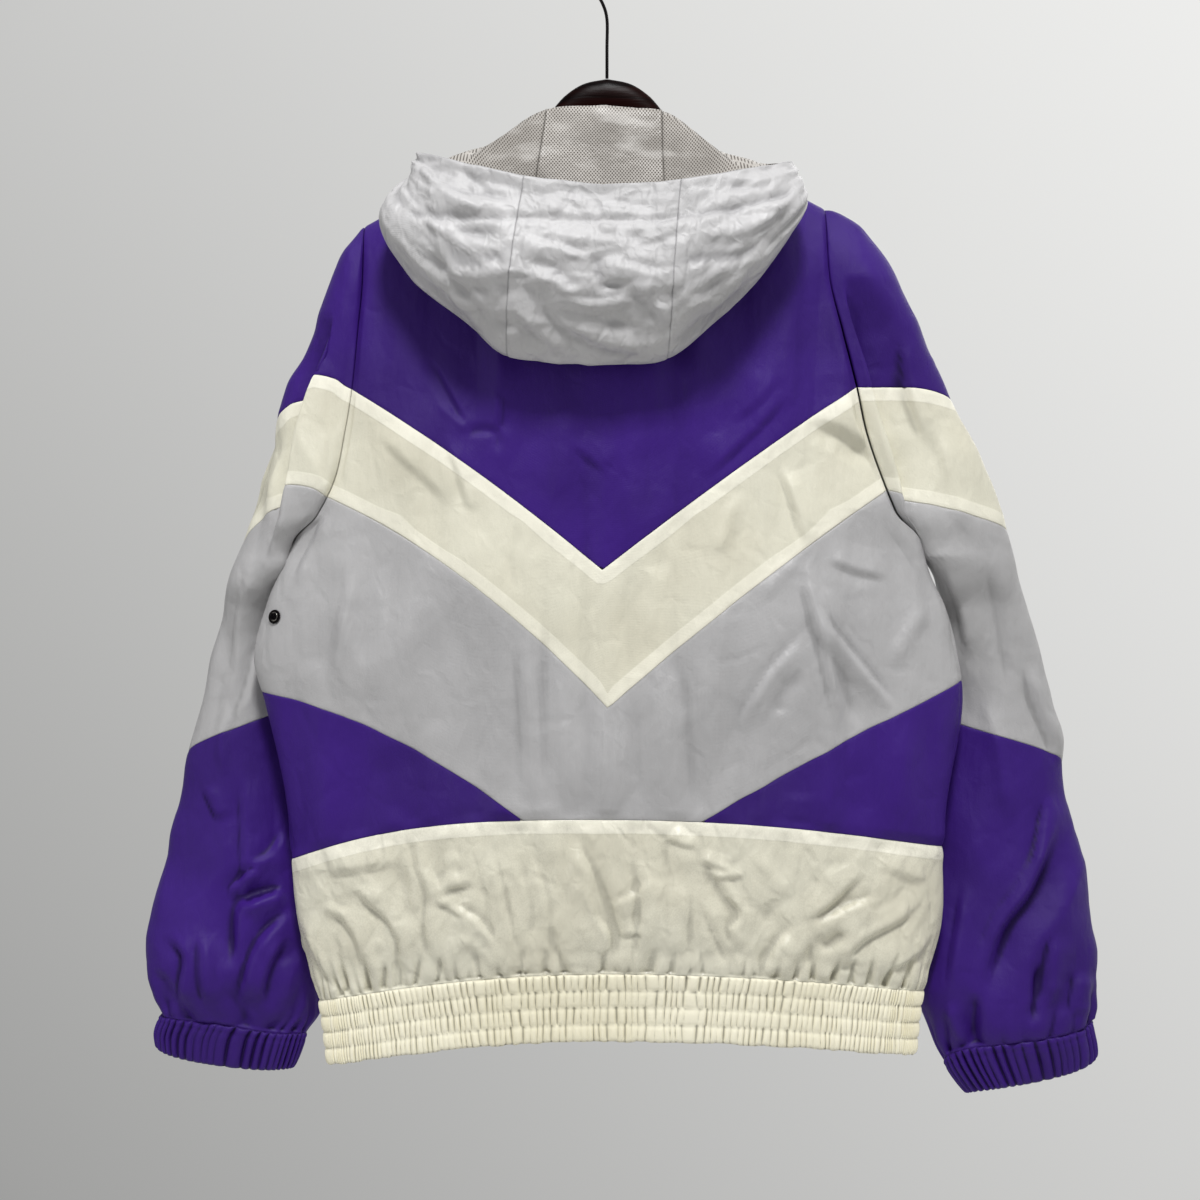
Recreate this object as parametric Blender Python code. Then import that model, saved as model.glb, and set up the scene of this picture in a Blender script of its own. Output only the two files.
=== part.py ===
"""Hooded windbreaker with a closed centre zip, hanging on a wooden hanger.

Metres, +Z up. The origin is the point where the hanger's hook bears on its rail, the
jacket's back faces -Y, and heights are given as the drop below the rail. Every cloth
piece is cut to its seams and bent to the hanging form as a wall of even thickness.
"""

import math

import bmesh
import bpy
import numpy as np
from mathutils import Matrix, Vector

CLOTH = 0.0010            # wall of one layer of cloth
SEAM_GAP = 0.0004         # clear slit along every seam
ROUNDNESS = 0.85          # power of the torso's section, 1 for an ellipse and less for a boxier one
NECK_HALF = 0.070         # half the width of the neck hole, on the shoulder line
NECK_DIP_BACK = 0.013     # how far the neck seam sinks from the shoulder line to the centre back
NECK_DIP_FRONT = 0.058    # and to the centre front
NECK_RISE = 0.0006        # the hood's foot stands this far above the neck seam
SHOULDER_ROLL = 0.055     # height over which the cloth rolls from the shoulder line to full depth
CAP_START = 0.0006        # the sleeve cap starts this far below the shoulder point
CAP_SLOPE = 0.0016        # and this much lower again where it meets the armhole
LINING_GAP = 0.0014       # between the hood's shell and its lining
ZIP_HALF = 0.0068         # from the centre line to the cut edge of a front
TAPE_INNER = 0.0025       # zip tape, from the coil to the front's edge
TAPE_OUTER = 0.0064
COIL_HALF = 0.0021        # half the width of the closed coil
COIL_THICK = 0.0018
HANGER_HALF_Y = 0.0068    # half the thickness of the wooden bar
HANGER_CREST = 0.1267     # drop of the bar's highest point
HOOK_WIRE = 0.0014        # radius of the hook's wire
HOOK_RADIUS = 0.0205      # centre line of the hook's arc
SNAP_RADIUS = 0.006
SNAP_HEIGHT = 0.0020
SNAP_CLEAR = 0.0008       # under the press stud's flat back, for the bend of the welt

BACK, FRONT = -1, 1       # which wall of the garment, along Y
LEFT, RIGHT = -1, 1       # which side, along X

PURPLE = ("purple_shell", (0.040, 0.016, 0.150), 0.55, 0.0)
CREAM = ("cream_shell", (0.680, 0.655, 0.530), 0.50, 0.0)
IVORY = ("hem_elastic", (0.800, 0.770, 0.600), 0.60, 0.0)
GREY = ("grey_shell", (0.440, 0.430, 0.440), 0.50, 0.0)
HOOD_GREY = ("hood_shell", (0.520, 0.510, 0.520), 0.45, 0.0)
MESH = ("mesh_lining", (0.470, 0.430, 0.400), 0.80, 0.0)
TAPE = ("zip_tape", (0.440, 0.430, 0.440), 0.70, 0.0)
COIL = ("zip_coil", (0.480, 0.470, 0.470), 0.40, 0.0)
METAL = ("dark_metal", (0.035, 0.033, 0.035), 0.30, 1.0)
WOOD = ("dark_wood", (0.020, 0.006, 0.005), 0.25, 0.0)


class Table:
    """Rows of named columns. A value between two rows lies on a smooth curve through them."""

    def __init__(self, names, *rows):
        self.keys = [row[0] for row in rows]
        self.columns = {name: [row[i] for row in rows] for i, name in enumerate(names)}

    def at(self, name, key):
        keys = self.keys
        values = self.columns[name]
        key = min(max(key, keys[0]), keys[-1])
        low = max(i for i in range(len(keys) - 1) if keys[i] <= key)
        span = keys[low + 1] - keys[low]
        part = (key - keys[low]) / span
        start = self.slope(values, low) * span
        end = self.slope(values, low + 1) * span
        step = values[low + 1] - values[low]
        curve = part * (part - 1) * ((1 - part) * (start - step) - part * (end - step))
        return values[low] + part * step - curve

    def slope(self, values, i):
        before = max(i - 1, 0)
        after = min(i + 1, len(values) - 1)
        return (values[after] - values[before]) / (self.keys[after] - self.keys[before])


# The torso's section at each drop: half widths to its side edges, half depths of its two
# walls, and where the armhole seams cross it. Below the underarm they are the side edges.
TORSO = Table(
    ("drop", "left", "right", "back", "front", "arm_left", "arm_right"),
    (0.180, 0.2380, 0.2140, 0.041, 0.039, 0.2055, 0.1850),
    (0.240, 0.2380, 0.2160, 0.043, 0.041, 0.2055, 0.1840),
    (0.300, 0.2380, 0.2220, 0.046, 0.044, 0.2040, 0.1855),
    (0.345, 0.2400, 0.2310, 0.047, 0.045, 0.2080, 0.1960),
    (0.390, 0.2450, 0.2380, 0.048, 0.046, 0.2125, 0.2075),
    (0.430, 0.2500, 0.2430, 0.048, 0.046, 0.2190, 0.2165),
    (0.470, 0.2570, 0.2495, 0.048, 0.046, 0.2280, 0.2310),
    (0.505, 0.2640, 0.2580, 0.048, 0.047, 0.2470, 0.2470),
    (0.537, 0.2715, 0.2680, 0.049, 0.048, 0.2715, 0.2680),
    (0.580, 0.2905, 0.2885, 0.050, 0.049, 0.2905, 0.2885),
    (0.620, 0.2985, 0.2985, 0.050, 0.049, 0.2985, 0.2985),
    (0.655, 0.2880, 0.3015, 0.050, 0.049, 0.2880, 0.3015),
    (0.700, 0.2775, 0.2960, 0.050, 0.049, 0.2775, 0.2960),
    (0.760, 0.2700, 0.2850, 0.050, 0.048, 0.2700, 0.2850),
    (0.845, 0.2620, 0.2840, 0.048, 0.046, 0.2620, 0.2840),
    (0.905, 0.2450, 0.2680, 0.037, 0.036, 0.2450, 0.2680),
    (0.965, 0.2370, 0.2610, 0.034, 0.034, 0.2370, 0.2610),
)
UNDERARM = {LEFT: 0.5395, RIGHT: 0.5345}
UNDERARM_HALF = 0.26      # a first guess at the half width, from which a seam crossing is found
SOLVE_STEPS = 18
MITRE_LIMIT = 0.4         # an armhole's mitre grows no longer than this allows

# The shoulder line, carried over the neck hole as the top of the roll.
ROOF = Table(
    ("across", "drop"),
    (-0.2700, 0.2900),
    (-0.2055, 0.2525),
    (-0.0700, 0.1820),
    (0.0000, 0.1600),
    (0.0700, 0.1810),
    (0.1860, 0.2385),
    (0.2500, 0.2720),
)

# Each sleeve's section at each drop: the x of its outer fold and of its inner edge, their y,
# and how far its back and front walls stand out. Above the underarm the armhole is its inner
# edge.
SLEEVES = {
    LEFT: Table(
        ("drop", "outer", "inner", "outer_y", "inner_y", "back", "front"),
        (0.2525, 0.2065, 0.2050, 0.000, 0.000, 0.000, 0.000),
        (0.259, 0.2110, 0.2050, 0.000, 0.000, 0.001, 0.001),
        (0.280, 0.2260, 0.2060, 0.000, 0.000, 0.003, 0.004),
        (0.320, 0.2430, 0.2100, 0.002, 0.000, 0.006, 0.008),
        (0.400, 0.2720, 0.2200, 0.006, 0.000, 0.009, 0.014),
        (0.460, 0.2930, 0.2350, 0.011, 0.000, 0.013, 0.020),
        (0.520, 0.3140, 0.2600, 0.017, 0.000, 0.019, 0.028),
        (0.5395, 0.3205, 0.2725, 0.020, 0.001, 0.022, 0.031),
        (0.556, 0.3260, 0.2835, 0.024, 0.013, 0.025, 0.033),
        (0.575, 0.3320, 0.2870, 0.030, 0.032, 0.026, 0.035),
        (0.620, 0.3450, 0.2760, 0.036, 0.051, 0.026, 0.036),
        (0.700, 0.3640, 0.2620, 0.038, 0.050, 0.029, 0.036),
        (0.800, 0.3830, 0.2560, 0.036, 0.044, 0.032, 0.036),
        (0.855, 0.3980, 0.2500, 0.034, 0.040, 0.038, 0.040),
        (0.895, 0.3985, 0.2450, 0.032, 0.036, 0.039, 0.040),
        (0.928, 0.3870, 0.2490, 0.030, 0.034, 0.028, 0.029),
        (0.9465, 0.3905, 0.2615, 0.030, 0.032, 0.024, 0.024),
        (0.977, 0.3880, 0.2735, 0.030, 0.032, 0.023, 0.023),
    ),
    RIGHT: Table(
        ("drop", "outer", "inner", "outer_y", "inner_y", "back", "front"),
        (0.2370, 0.1850, 0.1830, 0.000, 0.000, 0.000, 0.000),
        (0.243, 0.2000, 0.1830, 0.000, 0.000, 0.001, 0.001),
        (0.256, 0.2190, 0.1840, 0.000, 0.000, 0.003, 0.003),
        (0.280, 0.2360, 0.1850, 0.000, 0.000, 0.005, 0.005),
        (0.320, 0.2550, 0.1900, 0.002, 0.000, 0.008, 0.009),
        (0.390, 0.2900, 0.2070, 0.006, 0.000, 0.012, 0.015),
        (0.460, 0.3260, 0.2280, 0.011, 0.000, 0.015, 0.021),
        (0.512, 0.3425, 0.2530, 0.016, 0.000, 0.020, 0.028),
        (0.5345, 0.3510, 0.2690, 0.020, 0.001, 0.023, 0.031),
        (0.552, 0.3570, 0.2810, 0.024, 0.013, 0.025, 0.033),
        (0.575, 0.3650, 0.2870, 0.030, 0.032, 0.026, 0.035),
        (0.630, 0.3800, 0.2780, 0.036, 0.055, 0.028, 0.036),
        (0.700, 0.3940, 0.2770, 0.038, 0.055, 0.030, 0.036),
        (0.790, 0.4120, 0.2700, 0.036, 0.046, 0.034, 0.036),
        (0.865, 0.4245, 0.2680, 0.034, 0.040, 0.039, 0.040),
        (0.907, 0.4220, 0.2680, 0.032, 0.036, 0.040, 0.041),
        (0.940, 0.4200, 0.2790, 0.030, 0.034, 0.036, 0.036),
        (0.963, 0.4240, 0.2885, 0.030, 0.032, 0.028, 0.028),
        (0.998, 0.4210, 0.3130, 0.030, 0.032, 0.023, 0.023),
    ),
}

# The deep pleat behind each armhole: a near layer runs out to its edge, turns back under
# to its root, and the sleeve comes out again behind it. Places are shares of the way from
# the armhole to the outer fold.
PLEATS = {
    LEFT: {"edge": 0.30, "root": 0.47, "out": 0.009, "back_in": 0.017, "deep": 0.014,
           "columns": (0.0, 0.15, 0.30, 0.385, 0.47, 0.60, 0.79),
           "rows": Table(("drop", "open"), (0.33, 0.0), (0.39, 1.0), (0.48, 1.0), (0.535, 0.0))},
    RIGHT: {"edge": 0.07, "root": 0.21, "out": 0.002, "back_in": 0.015, "deep": 0.015,
            "columns": (0.0, 0.07, 0.14, 0.21, 0.40, 0.68),
            "rows": Table(("drop", "open"), (0.30, 0.0), (0.35, 1.0), (0.47, 1.0), (0.53, 0.0))},
}

# How each seam crosses a sleeve, as drops at the armhole, the pleat's edge, past the pleat
# and at the outer fold. The lines nearest the body come from the torso's own seams.
SLEEVE_SEAMS = {
    LEFT: {
        "stripe_top": (None, 0.382, 0.402, 0.4205),
        "stripe_hem": (None, 0.474, 0.495, 0.5230),
        "grey_hem": (0.662, 0.667, 0.682, 0.7035),
        "cuff_top": (0.9455, 0.9410, 0.9310, 0.9285),
        "cuff_hem": (0.9760, 0.9730, 0.9660, 0.9560),
    },
    RIGHT: {
        "stripe_top": (None, 0.3925, 0.3910, 0.4000),
        "stripe_hem": (None, 0.4800, 0.4900, 0.5125),
        "grey_hem": (0.666, 0.668, 0.677, 0.7130),
        "cuff_top": (0.9700, 0.9660, 0.9510, 0.9320),
        "cuff_hem": (0.9980, 0.9965, 0.9885, 0.9635),
    },
}

# Ribs of the hood from the centre back round to the chin, as points from its foot to the
# edge of its face opening. The drape lies on the back, the floor is the bottom of the pouch.
HOOD_POINTS = ("ridge", "drape", "floor", "belly", "edge")
HOOD_LEAN = {"ridge": -0.003, "drape": -0.008, "floor": -0.016, "belly": -0.012, "edge": -0.004}
HOOD_RIBS = (
    {"turn": 0.00, "ridge": (0.000, -0.046, 0.1600), "drape": (0.000, -0.060, 0.262),
     "floor": (0.000, -0.074, 0.3810), "belly": (0.000, -0.116, 0.315), "edge": (0.000, -0.104, 0.2425)},
    {"turn": 0.18, "ridge": (0.047, -0.040, 0.1610), "drape": (0.055, -0.058, 0.260),
     "floor": (0.064, -0.073, 0.3740), "belly": (0.064, -0.114, 0.307), "edge": (0.062, -0.101, 0.2360)},
    {"turn": 0.30, "ridge": (0.080, -0.032, 0.1790), "drape": (0.090, -0.053, 0.252),
     "floor": (0.103, -0.070, 0.3430), "belly": (0.110, -0.107, 0.284), "edge": (0.104, -0.094, 0.2265)},
    {"turn": 0.38, "ridge": (0.099, -0.022, 0.1890), "drape": (0.117, -0.045, 0.240),
     "floor": (0.141, -0.066, 0.3030), "belly": (0.145, -0.096, 0.262), "edge": (0.131, -0.083, 0.2185)},
    {"turn": 0.46, "ridge": (0.108, -0.012, 0.1920), "drape": (0.136, -0.036, 0.217),
     "floor": (0.168, -0.059, 0.2500), "belly": (0.169, -0.072, 0.234), "edge": (0.154, -0.060, 0.2090)},
    {"turn": 0.54, "ridge": (0.101, 0.005, 0.1860), "drape": (0.122, 0.001, 0.1940),
     "floor": (0.140, -0.005, 0.2020), "belly": (0.149, -0.009, 0.2060), "edge": (0.150, -0.012, 0.2010)},
    {"turn": 0.62, "ridge": (0.079, 0.028, 0.1830), "drape": (0.090, 0.034, 0.1880),
     "floor": (0.099, 0.038, 0.1930), "belly": (0.106, 0.040, 0.1960), "edge": (0.110, 0.040, 0.1935)},
    {"turn": 0.72, "ridge": (0.058, 0.0405, 0.1990), "drape": (0.062, 0.0455, 0.1955),
     "floor": (0.066, 0.0490, 0.1920), "belly": (0.070, 0.0510, 0.1885), "edge": (0.074, 0.051, 0.185)},
    {"turn": 0.86, "ridge": (0.032, 0.0470, 0.2215), "drape": (0.034, 0.0520, 0.2135),
     "floor": (0.036, 0.0560, 0.2055), "belly": (0.038, 0.0585, 0.1975), "edge": (0.040, 0.060, 0.1895)},
    {"turn": 1.00, "ridge": (0.0068, 0.0470, 0.2300), "drape": (0.0068, 0.0520, 0.2200),
     "floor": (0.0068, 0.0560, 0.2100), "belly": (0.0068, 0.0590, 0.2000), "edge": (0.0068, 0.061, 0.1900)},
)
HOOD = {name: Table(("turn", "x", "y", "drop"), *((rib["turn"], *rib[name]) for rib in HOOD_RIBS))
        for name in HOOD_POINTS}
RIDGE_FOLD = 0.0045       # half the width of the fold along the ridge
HOOD_TILT = 0.022         # fall per metre towards the right
FLOOR_SAG = 0.008         # how far the pouch's floor bellies out to the back
HOOD_SEAM = 0.18          # turn at which the side panels meet the centre panel

# Half of the hanger's bar, outward from the hook: its top line and the height of the bar.
HANGER_CROWN = Table(
    ("across", "drop"),
    (0.000, HANGER_CREST),
    (0.020, 0.1310),
    (0.035, 0.1405),
    (0.045, 0.1515),
    (0.055, 0.1665),
    (0.066, 0.1850),
)
HANGER_TIP = {LEFT: 0.200, RIGHT: 0.181}
HOOK_ROUTE = ((0.0, -0.1262), (0.0, -0.100), (0.0, -0.076), (-0.004, -0.062), (-0.012, -0.049),
              (-0.0185, -0.036))

TORSO_COLUMNS = (0.0, 0.15, 0.30, 0.44, 0.58, 0.71, 0.82, 0.92, 1.0)
NECK_COLUMNS = (0.536, 0.80, 0.94, 1.0)
YOKE_ROWS = (0.0, 0.05, 0.16, 0.36, 0.66, 1.0)
GREY_ROWS = (0.0, 0.113, 0.227, 0.34, 0.55, 0.78, 1.0)
UNDERARM_ROW = 0.34       # the grey panels' row that meets the underarm
ZIP_ROWS = (0.0, 0.013, 0.027, 0.04, 0.055, 0.08, 0.12, 0.2, 0.32, 0.45, 0.6, 0.75, 0.88, 1.0)
FRONT_SLEEVE_COLUMNS = (0.0, 0.20, 0.40, 0.62, 0.82)
HOOD_ROWS = (0.0, 0.12, 0.17, 0.20, 0.24, 0.34, 0.46, 0.57, 0.62, 0.68, 0.80, 1.0)
HOOD_COLUMNS = (0.18, 0.295, 0.389, 0.45, 0.50, 0.55, 0.611, 0.705, 0.82, 1.0)


def mix(a, b, part):
    return a + (b - a) * part


def bump(value, centre, reach):
    """1 at the centre, falling smoothly to 0 at the reach."""
    away = abs(value - centre) / reach
    return math.cos(away * math.pi / 2) ** 2 if away < 1 else 0.0


def ease(value, low, high):
    part = min(max((value - low) / (high - low), 0.0), 1.0)
    return part * part * (3 - 2 * part)


# ---- seams: each gives the drop of its line at an x ----

class Vee:
    """A seam that runs down to a tip near the centre, each arm bowed a little upward.

    An arm is the tip's drop, the x and drop of its outer end, and the height of its bow.
    """

    def __init__(self, tip, left, right):
        self.tip = tip
        self.arms = {LEFT: left, RIGHT: right}

    def at(self, across):
        tip_drop, end, end_drop, bow = self.arms[LEFT if across < self.tip else RIGHT]
        part = (across - self.tip) / (end - self.tip)
        fall = end_drop - tip_drop
        if part > 1:
            return end_drop + (part - 1) * (fall + 4 * bow)
        return tip_drop + part * fall - 4 * bow * part * (1 - part)


class Arch:
    """A seam that is highest at the centre and sinks by some power of the way to each side.

    An arm is the x of its outer end, how far it sinks there, and the power.
    """

    def __init__(self, centre, left, right):
        self.centre = centre
        self.arms = {LEFT: left, RIGHT: right}

    def at(self, across):
        reach, sink, power = self.arms[side_of(across)]
        return self.centre + sink * abs(across / reach) ** power


class Higher:
    """Whichever of two seams is the higher one."""

    def __init__(self, one, other):
        self.one = one
        self.other = other

    def at(self, across):
        return min(self.one.at(across), self.other.at(across))


class Neckline:
    """The top edge of one wall: the neck seam, and the shoulder line beyond it."""

    def __init__(self, dip):
        self.dip = dip

    def at(self, across):
        if abs(across) >= NECK_HALF:
            return ROOF.at("drop", across)
        edge = ROOF.at("drop", math.copysign(NECK_HALF, across))
        return edge + self.dip * (1 - (across / NECK_HALF) ** 2)


NECK = {BACK: Neckline(NECK_DIP_BACK), FRONT: Neckline(NECK_DIP_FRONT)}
YOKE_HEM = Vee(-0.004, (0.545, -0.212, 0.3945, 0.006), (0.545, 0.2075, 0.3925, 0.003))
STRIPE_HEM = Vee(0.0005, (0.6585, -0.232, 0.4845, 0.018), (0.6585, 0.2345, 0.4775, 0.006))
GREY_SIDE_HEM = Vee(0.003, (0.812, -0.287, 0.6470, 0.027), (0.798, 0.3015, 0.6380, 0.008))
SKIRT_TOP = Arch(0.750, (-0.270, 0.040, 3.0), (0.285, 0.028, 2.0))
BAND_TOP = Arch(0.8785, (-0.2445, 0.030, 2.0), (0.2675, 0.0215, 2.0))
BAND_HEM = Arch(0.936, (-0.237, 0.027, 2.0), (0.261, 0.0185, 2.0))
GREY_HEM = Higher(GREY_SIDE_HEM, SKIRT_TOP)


# ---- the torso ----

def side_of(across):
    return LEFT if across < 0 else RIGHT


def edge_half(side, drop):
    return TORSO.at("left" if side == LEFT else "right", drop)


def arm_turn(side, drop):
    """Where the armhole, or the side seam below it, lies on the quarter of the section."""
    if drop >= UNDERARM[side]:
        return 1.0
    arm = TORSO.at("arm_left" if side == LEFT else "arm_right", drop)
    return math.asin(min(arm / edge_half(side, drop), 1.0)) / (math.pi / 2)


def roll(across, drop):
    """The share of the full depth that a wall has reached below the shoulder line."""
    below = (drop - ROOF.at("drop", across)) / SHOULDER_ROLL
    below = min(max(below, 0.0), 1.0)
    return math.sqrt(1 - (1 - below) ** 2)


def torso(face, share, drop):
    """A point of one wall. The share runs from -1 at the left armhole or side to 1."""
    side = side_of(share)
    angle = abs(share) * arm_turn(side, drop) * math.pi / 2
    across = side * edge_half(side, drop) * math.sin(angle)
    deep = TORSO.at("back" if face == BACK else "front", drop)
    out = deep * max(math.cos(angle), 0.0) ** ROUNDNESS * roll(across, drop)
    return Vector((across, face * out, -drop))


def share_at(side, across, drop):
    angle = math.asin(min(abs(across) / edge_half(side, drop), 1.0))
    return side * angle / (math.pi / 2) / arm_turn(side, drop)


def seam_drop(share, seam):
    """The drop at which a column of the torso crosses a seam."""
    drop = seam.at(share * UNDERARM_HALF)
    for _ in range(SOLVE_STEPS):
        drop = mix(drop, seam.at(torso(BACK, share, drop).x), 0.6)
    return drop


def front_share(side, part, drop):
    """The share of a front's column, part of the way from the zip to the armhole or side."""
    return side * mix(abs(share_at(side, ZIP_HALF, drop)), 1, part)


def front_drop(side, part, seam):
    """The drop at which a column of a front crosses a seam."""
    drop = seam.at(side * part * UNDERARM_HALF)
    for _ in range(SOLVE_STEPS):
        across = torso(FRONT, front_share(side, part, drop), drop).x
        drop = mix(drop, seam.at(across), 0.6)
    return drop


# ---- the sleeves ----

def sleeve(side, around, drop):
    """A point of a sleeve: around is -1 at the back seam, 0 at the outer fold, 1 in front."""
    face = BACK if around < 0 else FRONT
    part = 1 - abs(around)
    rows = SLEEVES[side]
    if drop < UNDERARM[side]:
        start = torso(face, side, drop)
    else:
        start = Vector((side * rows.at("inner", drop), rows.at("inner_y", drop), -drop))
    closed = ease(drop, UNDERARM[side] - 0.09, UNDERARM[side])
    half_turn = (1 - math.cos(math.pi * part)) / 2
    run = mix(math.sin(math.pi / 2 * part), half_turn, closed)
    sink = mix(1 - math.cos(math.pi / 2 * part), half_turn, closed)
    stand = rows.at("back" if face == BACK else "front", drop)
    across = mix(start.x, side * rows.at("outer", drop), run)
    deep = mix(start.y, rows.at("outer_y", drop), sink)
    deep += face * stand * math.sin(math.pi * part)
    if face == BACK:
        pleat = PLEATS[side]
        wide = pleat["root"] - pleat["edge"]
        opened = pleat["rows"].at("open", drop)
        shift = pleat["out"] * bump(part, pleat["edge"], wide)
        shift -= pleat["back_in"] * bump(part, pleat["root"], wide)
        across += side * opened * shift
        under = ease(part, pleat["edge"], pleat["root"]) * (1 - part) / (1 - pleat["root"])
        deep += opened * pleat["deep"] * under
    return Vector((across, deep, -drop))


def sleeve_seam(side, name, around):
    """The drop of a sleeve's seam: over the pleat at the back, and straight in front."""
    drops = list(SLEEVE_SEAMS[side][name])
    if drops[0] is None:
        drops[0] = seam_drop(side, YOKE_HEM if name == "stripe_top" else STRIPE_HEM)
    part = 1 - abs(around)
    if around > 0:
        return mix(drops[0], drops[-1], (1 - math.cos(math.pi * part)) / 2)
    pleat = PLEATS[side]
    places = (0.0, pleat["edge"], pleat["root"] + 0.12, 1.0)
    return Table(("part", "drop"), *zip(places, drops)).at("drop", part)


def cap_top(side, part):
    """The top edge of the sleeve's cap, folded close about the shoulder point."""
    return seam_drop(side, NECK[BACK]) + CAP_START + CAP_SLOPE * (1 - part)


# ---- the hood ----

def neck_point(turn):
    """The foot of the hood, round the neck from the centre back to the chin."""
    side = side_of(turn)
    angle = abs(turn) * math.pi
    across = side * max(NECK_HALF * math.sin(angle), ZIP_HALF if abs(turn) > 0.5 else 0.0)
    face = BACK if abs(turn) < 0.5 else FRONT
    drop = NECK[face].at(across)
    foot = torso(face, share_at(side, across, drop), drop)
    foot.z += NECK_RISE
    return foot


def hood(turn, along):
    """A point of the hood: along runs from its foot at 0 to the face opening's edge at 1."""
    foot = neck_point(turn)
    ridge, drape, floor, belly, edge = (rib_point(turn, name) for name in HOOD_POINTS)
    folded = 1 - ease(abs(turn), 0.20, 0.42)
    sagging = 1 - ease(abs(turn), 0.44, 0.54)
    outward = Vector((belly.x - drape.x, belly.y - drape.y, 0)).normalized() * FLOOR_SAG * sagging
    rise = foot.lerp(ridge, 0.75).lerp(ridge + Vector((0, RIDGE_FOLD, -RIDGE_FOLD)), folded)
    fall = ridge.lerp(drape, 0.2).lerp(ridge - Vector((0, RIDGE_FOLD, RIDGE_FOLD)), folded)
    heel = floor.lerp(drape, 0.2) - outward / 2
    toe = floor.lerp(belly, 0.25) + outward
    spots = Table(
        ("spot", "x", "y", "z"),
        (0.0, *foot),
        (0.8, *rise),
        (1.0, *ridge),
        (1.2, *fall),
        (2.0, *drape),
        (2.8, *heel),
        (3.0, *floor),
        (3.25, *toe),
        (4.0, *belly),
        (5.0, *edge),
    )
    place = min(max(along, 0.0), 1.0) * 5
    return Vector([spots.at(axis, place) for axis in ("x", "y", "z")])


def rib_point(turn, name):
    x, y, drop = (HOOD[name].at(axis, abs(turn)) for axis in ("x", "y", "drop"))
    x = side_of(turn) * x + HOOD_LEAN[name] * (1 - ease(abs(turn), 0.40, 0.64))
    return Vector((x, y, -drop - HOOD_TILT * x))


# ---- walls ----

def material(spec):
    name, colour, roughness, metallic = spec
    made = bpy.data.materials.get(name)
    if made is None:
        made = bpy.data.materials.new(name)
        made.use_nodes = True
        shader = made.node_tree.nodes["Principled BSDF"]
        shader.inputs["Base Color"].default_value = (*colour, 1.0)
        shader.inputs["Roughness"].default_value = roughness
        shader.inputs["Metallic"].default_value = metallic
    return made


def finish(name, bm, spec, smooth=True):
    """Makes the mesh an object of the jacket's collection."""
    bmesh.ops.recalc_face_normals(bm, faces=bm.faces[:])
    if bm.calc_volume(signed=True) < 0:
        bmesh.ops.reverse_faces(bm, faces=bm.faces[:])
    mesh = bpy.data.meshes.new(name)
    bm.to_mesh(mesh)
    bm.free()
    mesh.materials.append(material(spec))
    if smooth:
        mesh.shade_smooth()
        mesh.set_sharp_from_angle(angle=math.radians(40))
    made = bpy.data.objects.new(name, mesh)
    PARTS.objects.link(made)
    return made


def tangents(place, a, b, low=-math.inf, high=math.inf, step=0.002):
    """How a surface runs along each of its two parameters."""
    a0, a1 = max(a - step, low), min(a + step, high)
    b0, b1 = max(b - step, low), min(b + step, high)
    return (place(a1, b) - place(a0, b)) / (a1 - a0), (place(a, b1) - place(a, b0)) / (b1 - b0)


def facing(surface, a, b, outside):
    """The outward normal of a surface, the same for every piece that is cut from it."""
    along_a, along_b = tangents(surface, a, b)
    return outside * along_a.cross(along_b).normalized()


def wall(name, spec, surface, cut, columns, rows, outside, thick=CLOTH, lift=0.0, normal_at=facing):
    """A flat grid given a thickness, then bent to the surface by the cut of the piece.

    cut(s, r) gives the surface's own parameters for a place on the piece. outside is 1 or
    -1, whichever turns the cross product of those two to the outside. The outer face lies
    lift outside the surface, and the edges stand half a seam gap back.
    """
    bm = bmesh.new()
    bmesh.ops.create_grid(bm, x_segments=len(columns) - 1, y_segments=len(rows) - 1, size=0.5)
    bmesh.ops.triangulate(bm, faces=bm.faces[:], quad_method="FIXED")
    layer = bmesh.ops.extrude_face_region(bm, geom=bm.faces[:], use_keep_orig=True)
    inner = [item for item in layer["geom"] if isinstance(item, bmesh.types.BMVert)]
    bmesh.ops.translate(bm, verts=inner, vec=(0, 0, 1))

    def place(s, r):
        return surface(*cut(s, r))

    for vertex in bm.verts:
        s = columns[round((vertex.co.x + 0.5) * (len(columns) - 1))]
        r = rows[round((vertex.co.y + 0.5) * (len(rows) - 1))]
        depth = vertex.co.z
        along_s, along_r = tangents(place, s, r, 0.0, 1.0)
        normal = normal_at(surface, *cut(s, r), outside)
        s += pull_back(s, along_s)
        r += pull_back(r, along_r)
        vertex.co = place(s, r) + normal * (lift - depth * thick)
    return finish(name, bm, spec)


def pull_back(value, along):
    """How far an edge's parameter moves in, so that the edge clears its seam."""
    step = min(SEAM_GAP / 2 / max(along.length, 1e-4), 0.02)
    return {0.0: step, 1.0: -step}.get(value, 0.0)


def shares(count):
    return [i / count for i in range(count + 1)]


def spaced(first, last, positions):
    """The positions within [first, last], with both ends, as shares of that range."""
    inside = [p for p in positions if first < p < last]
    return [(p - first) / (last - first) for p in (first, *inside, last)]


def neck_part(side, face, part):
    """Where a column of a panel starts at a yoke's top: the columns close up round the neck."""
    starts = []
    for reach in NECK_COLUMNS:
        across = side * NECK_HALF * reach
        share = abs(share_at(side, across, NECK[face].at(across)))
        if face == FRONT:
            zip_edge = abs(share_at(side, ZIP_HALF, NECK[face].at(across)))
            share = (share - zip_edge) / (1 - zip_edge)
        starts.append(share)
    count = len(NECK_COLUMNS) + 1
    return float(np.interp(part, (*TORSO_COLUMNS[:count], 1.0), (0.0, *starts, 1.0)))


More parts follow.
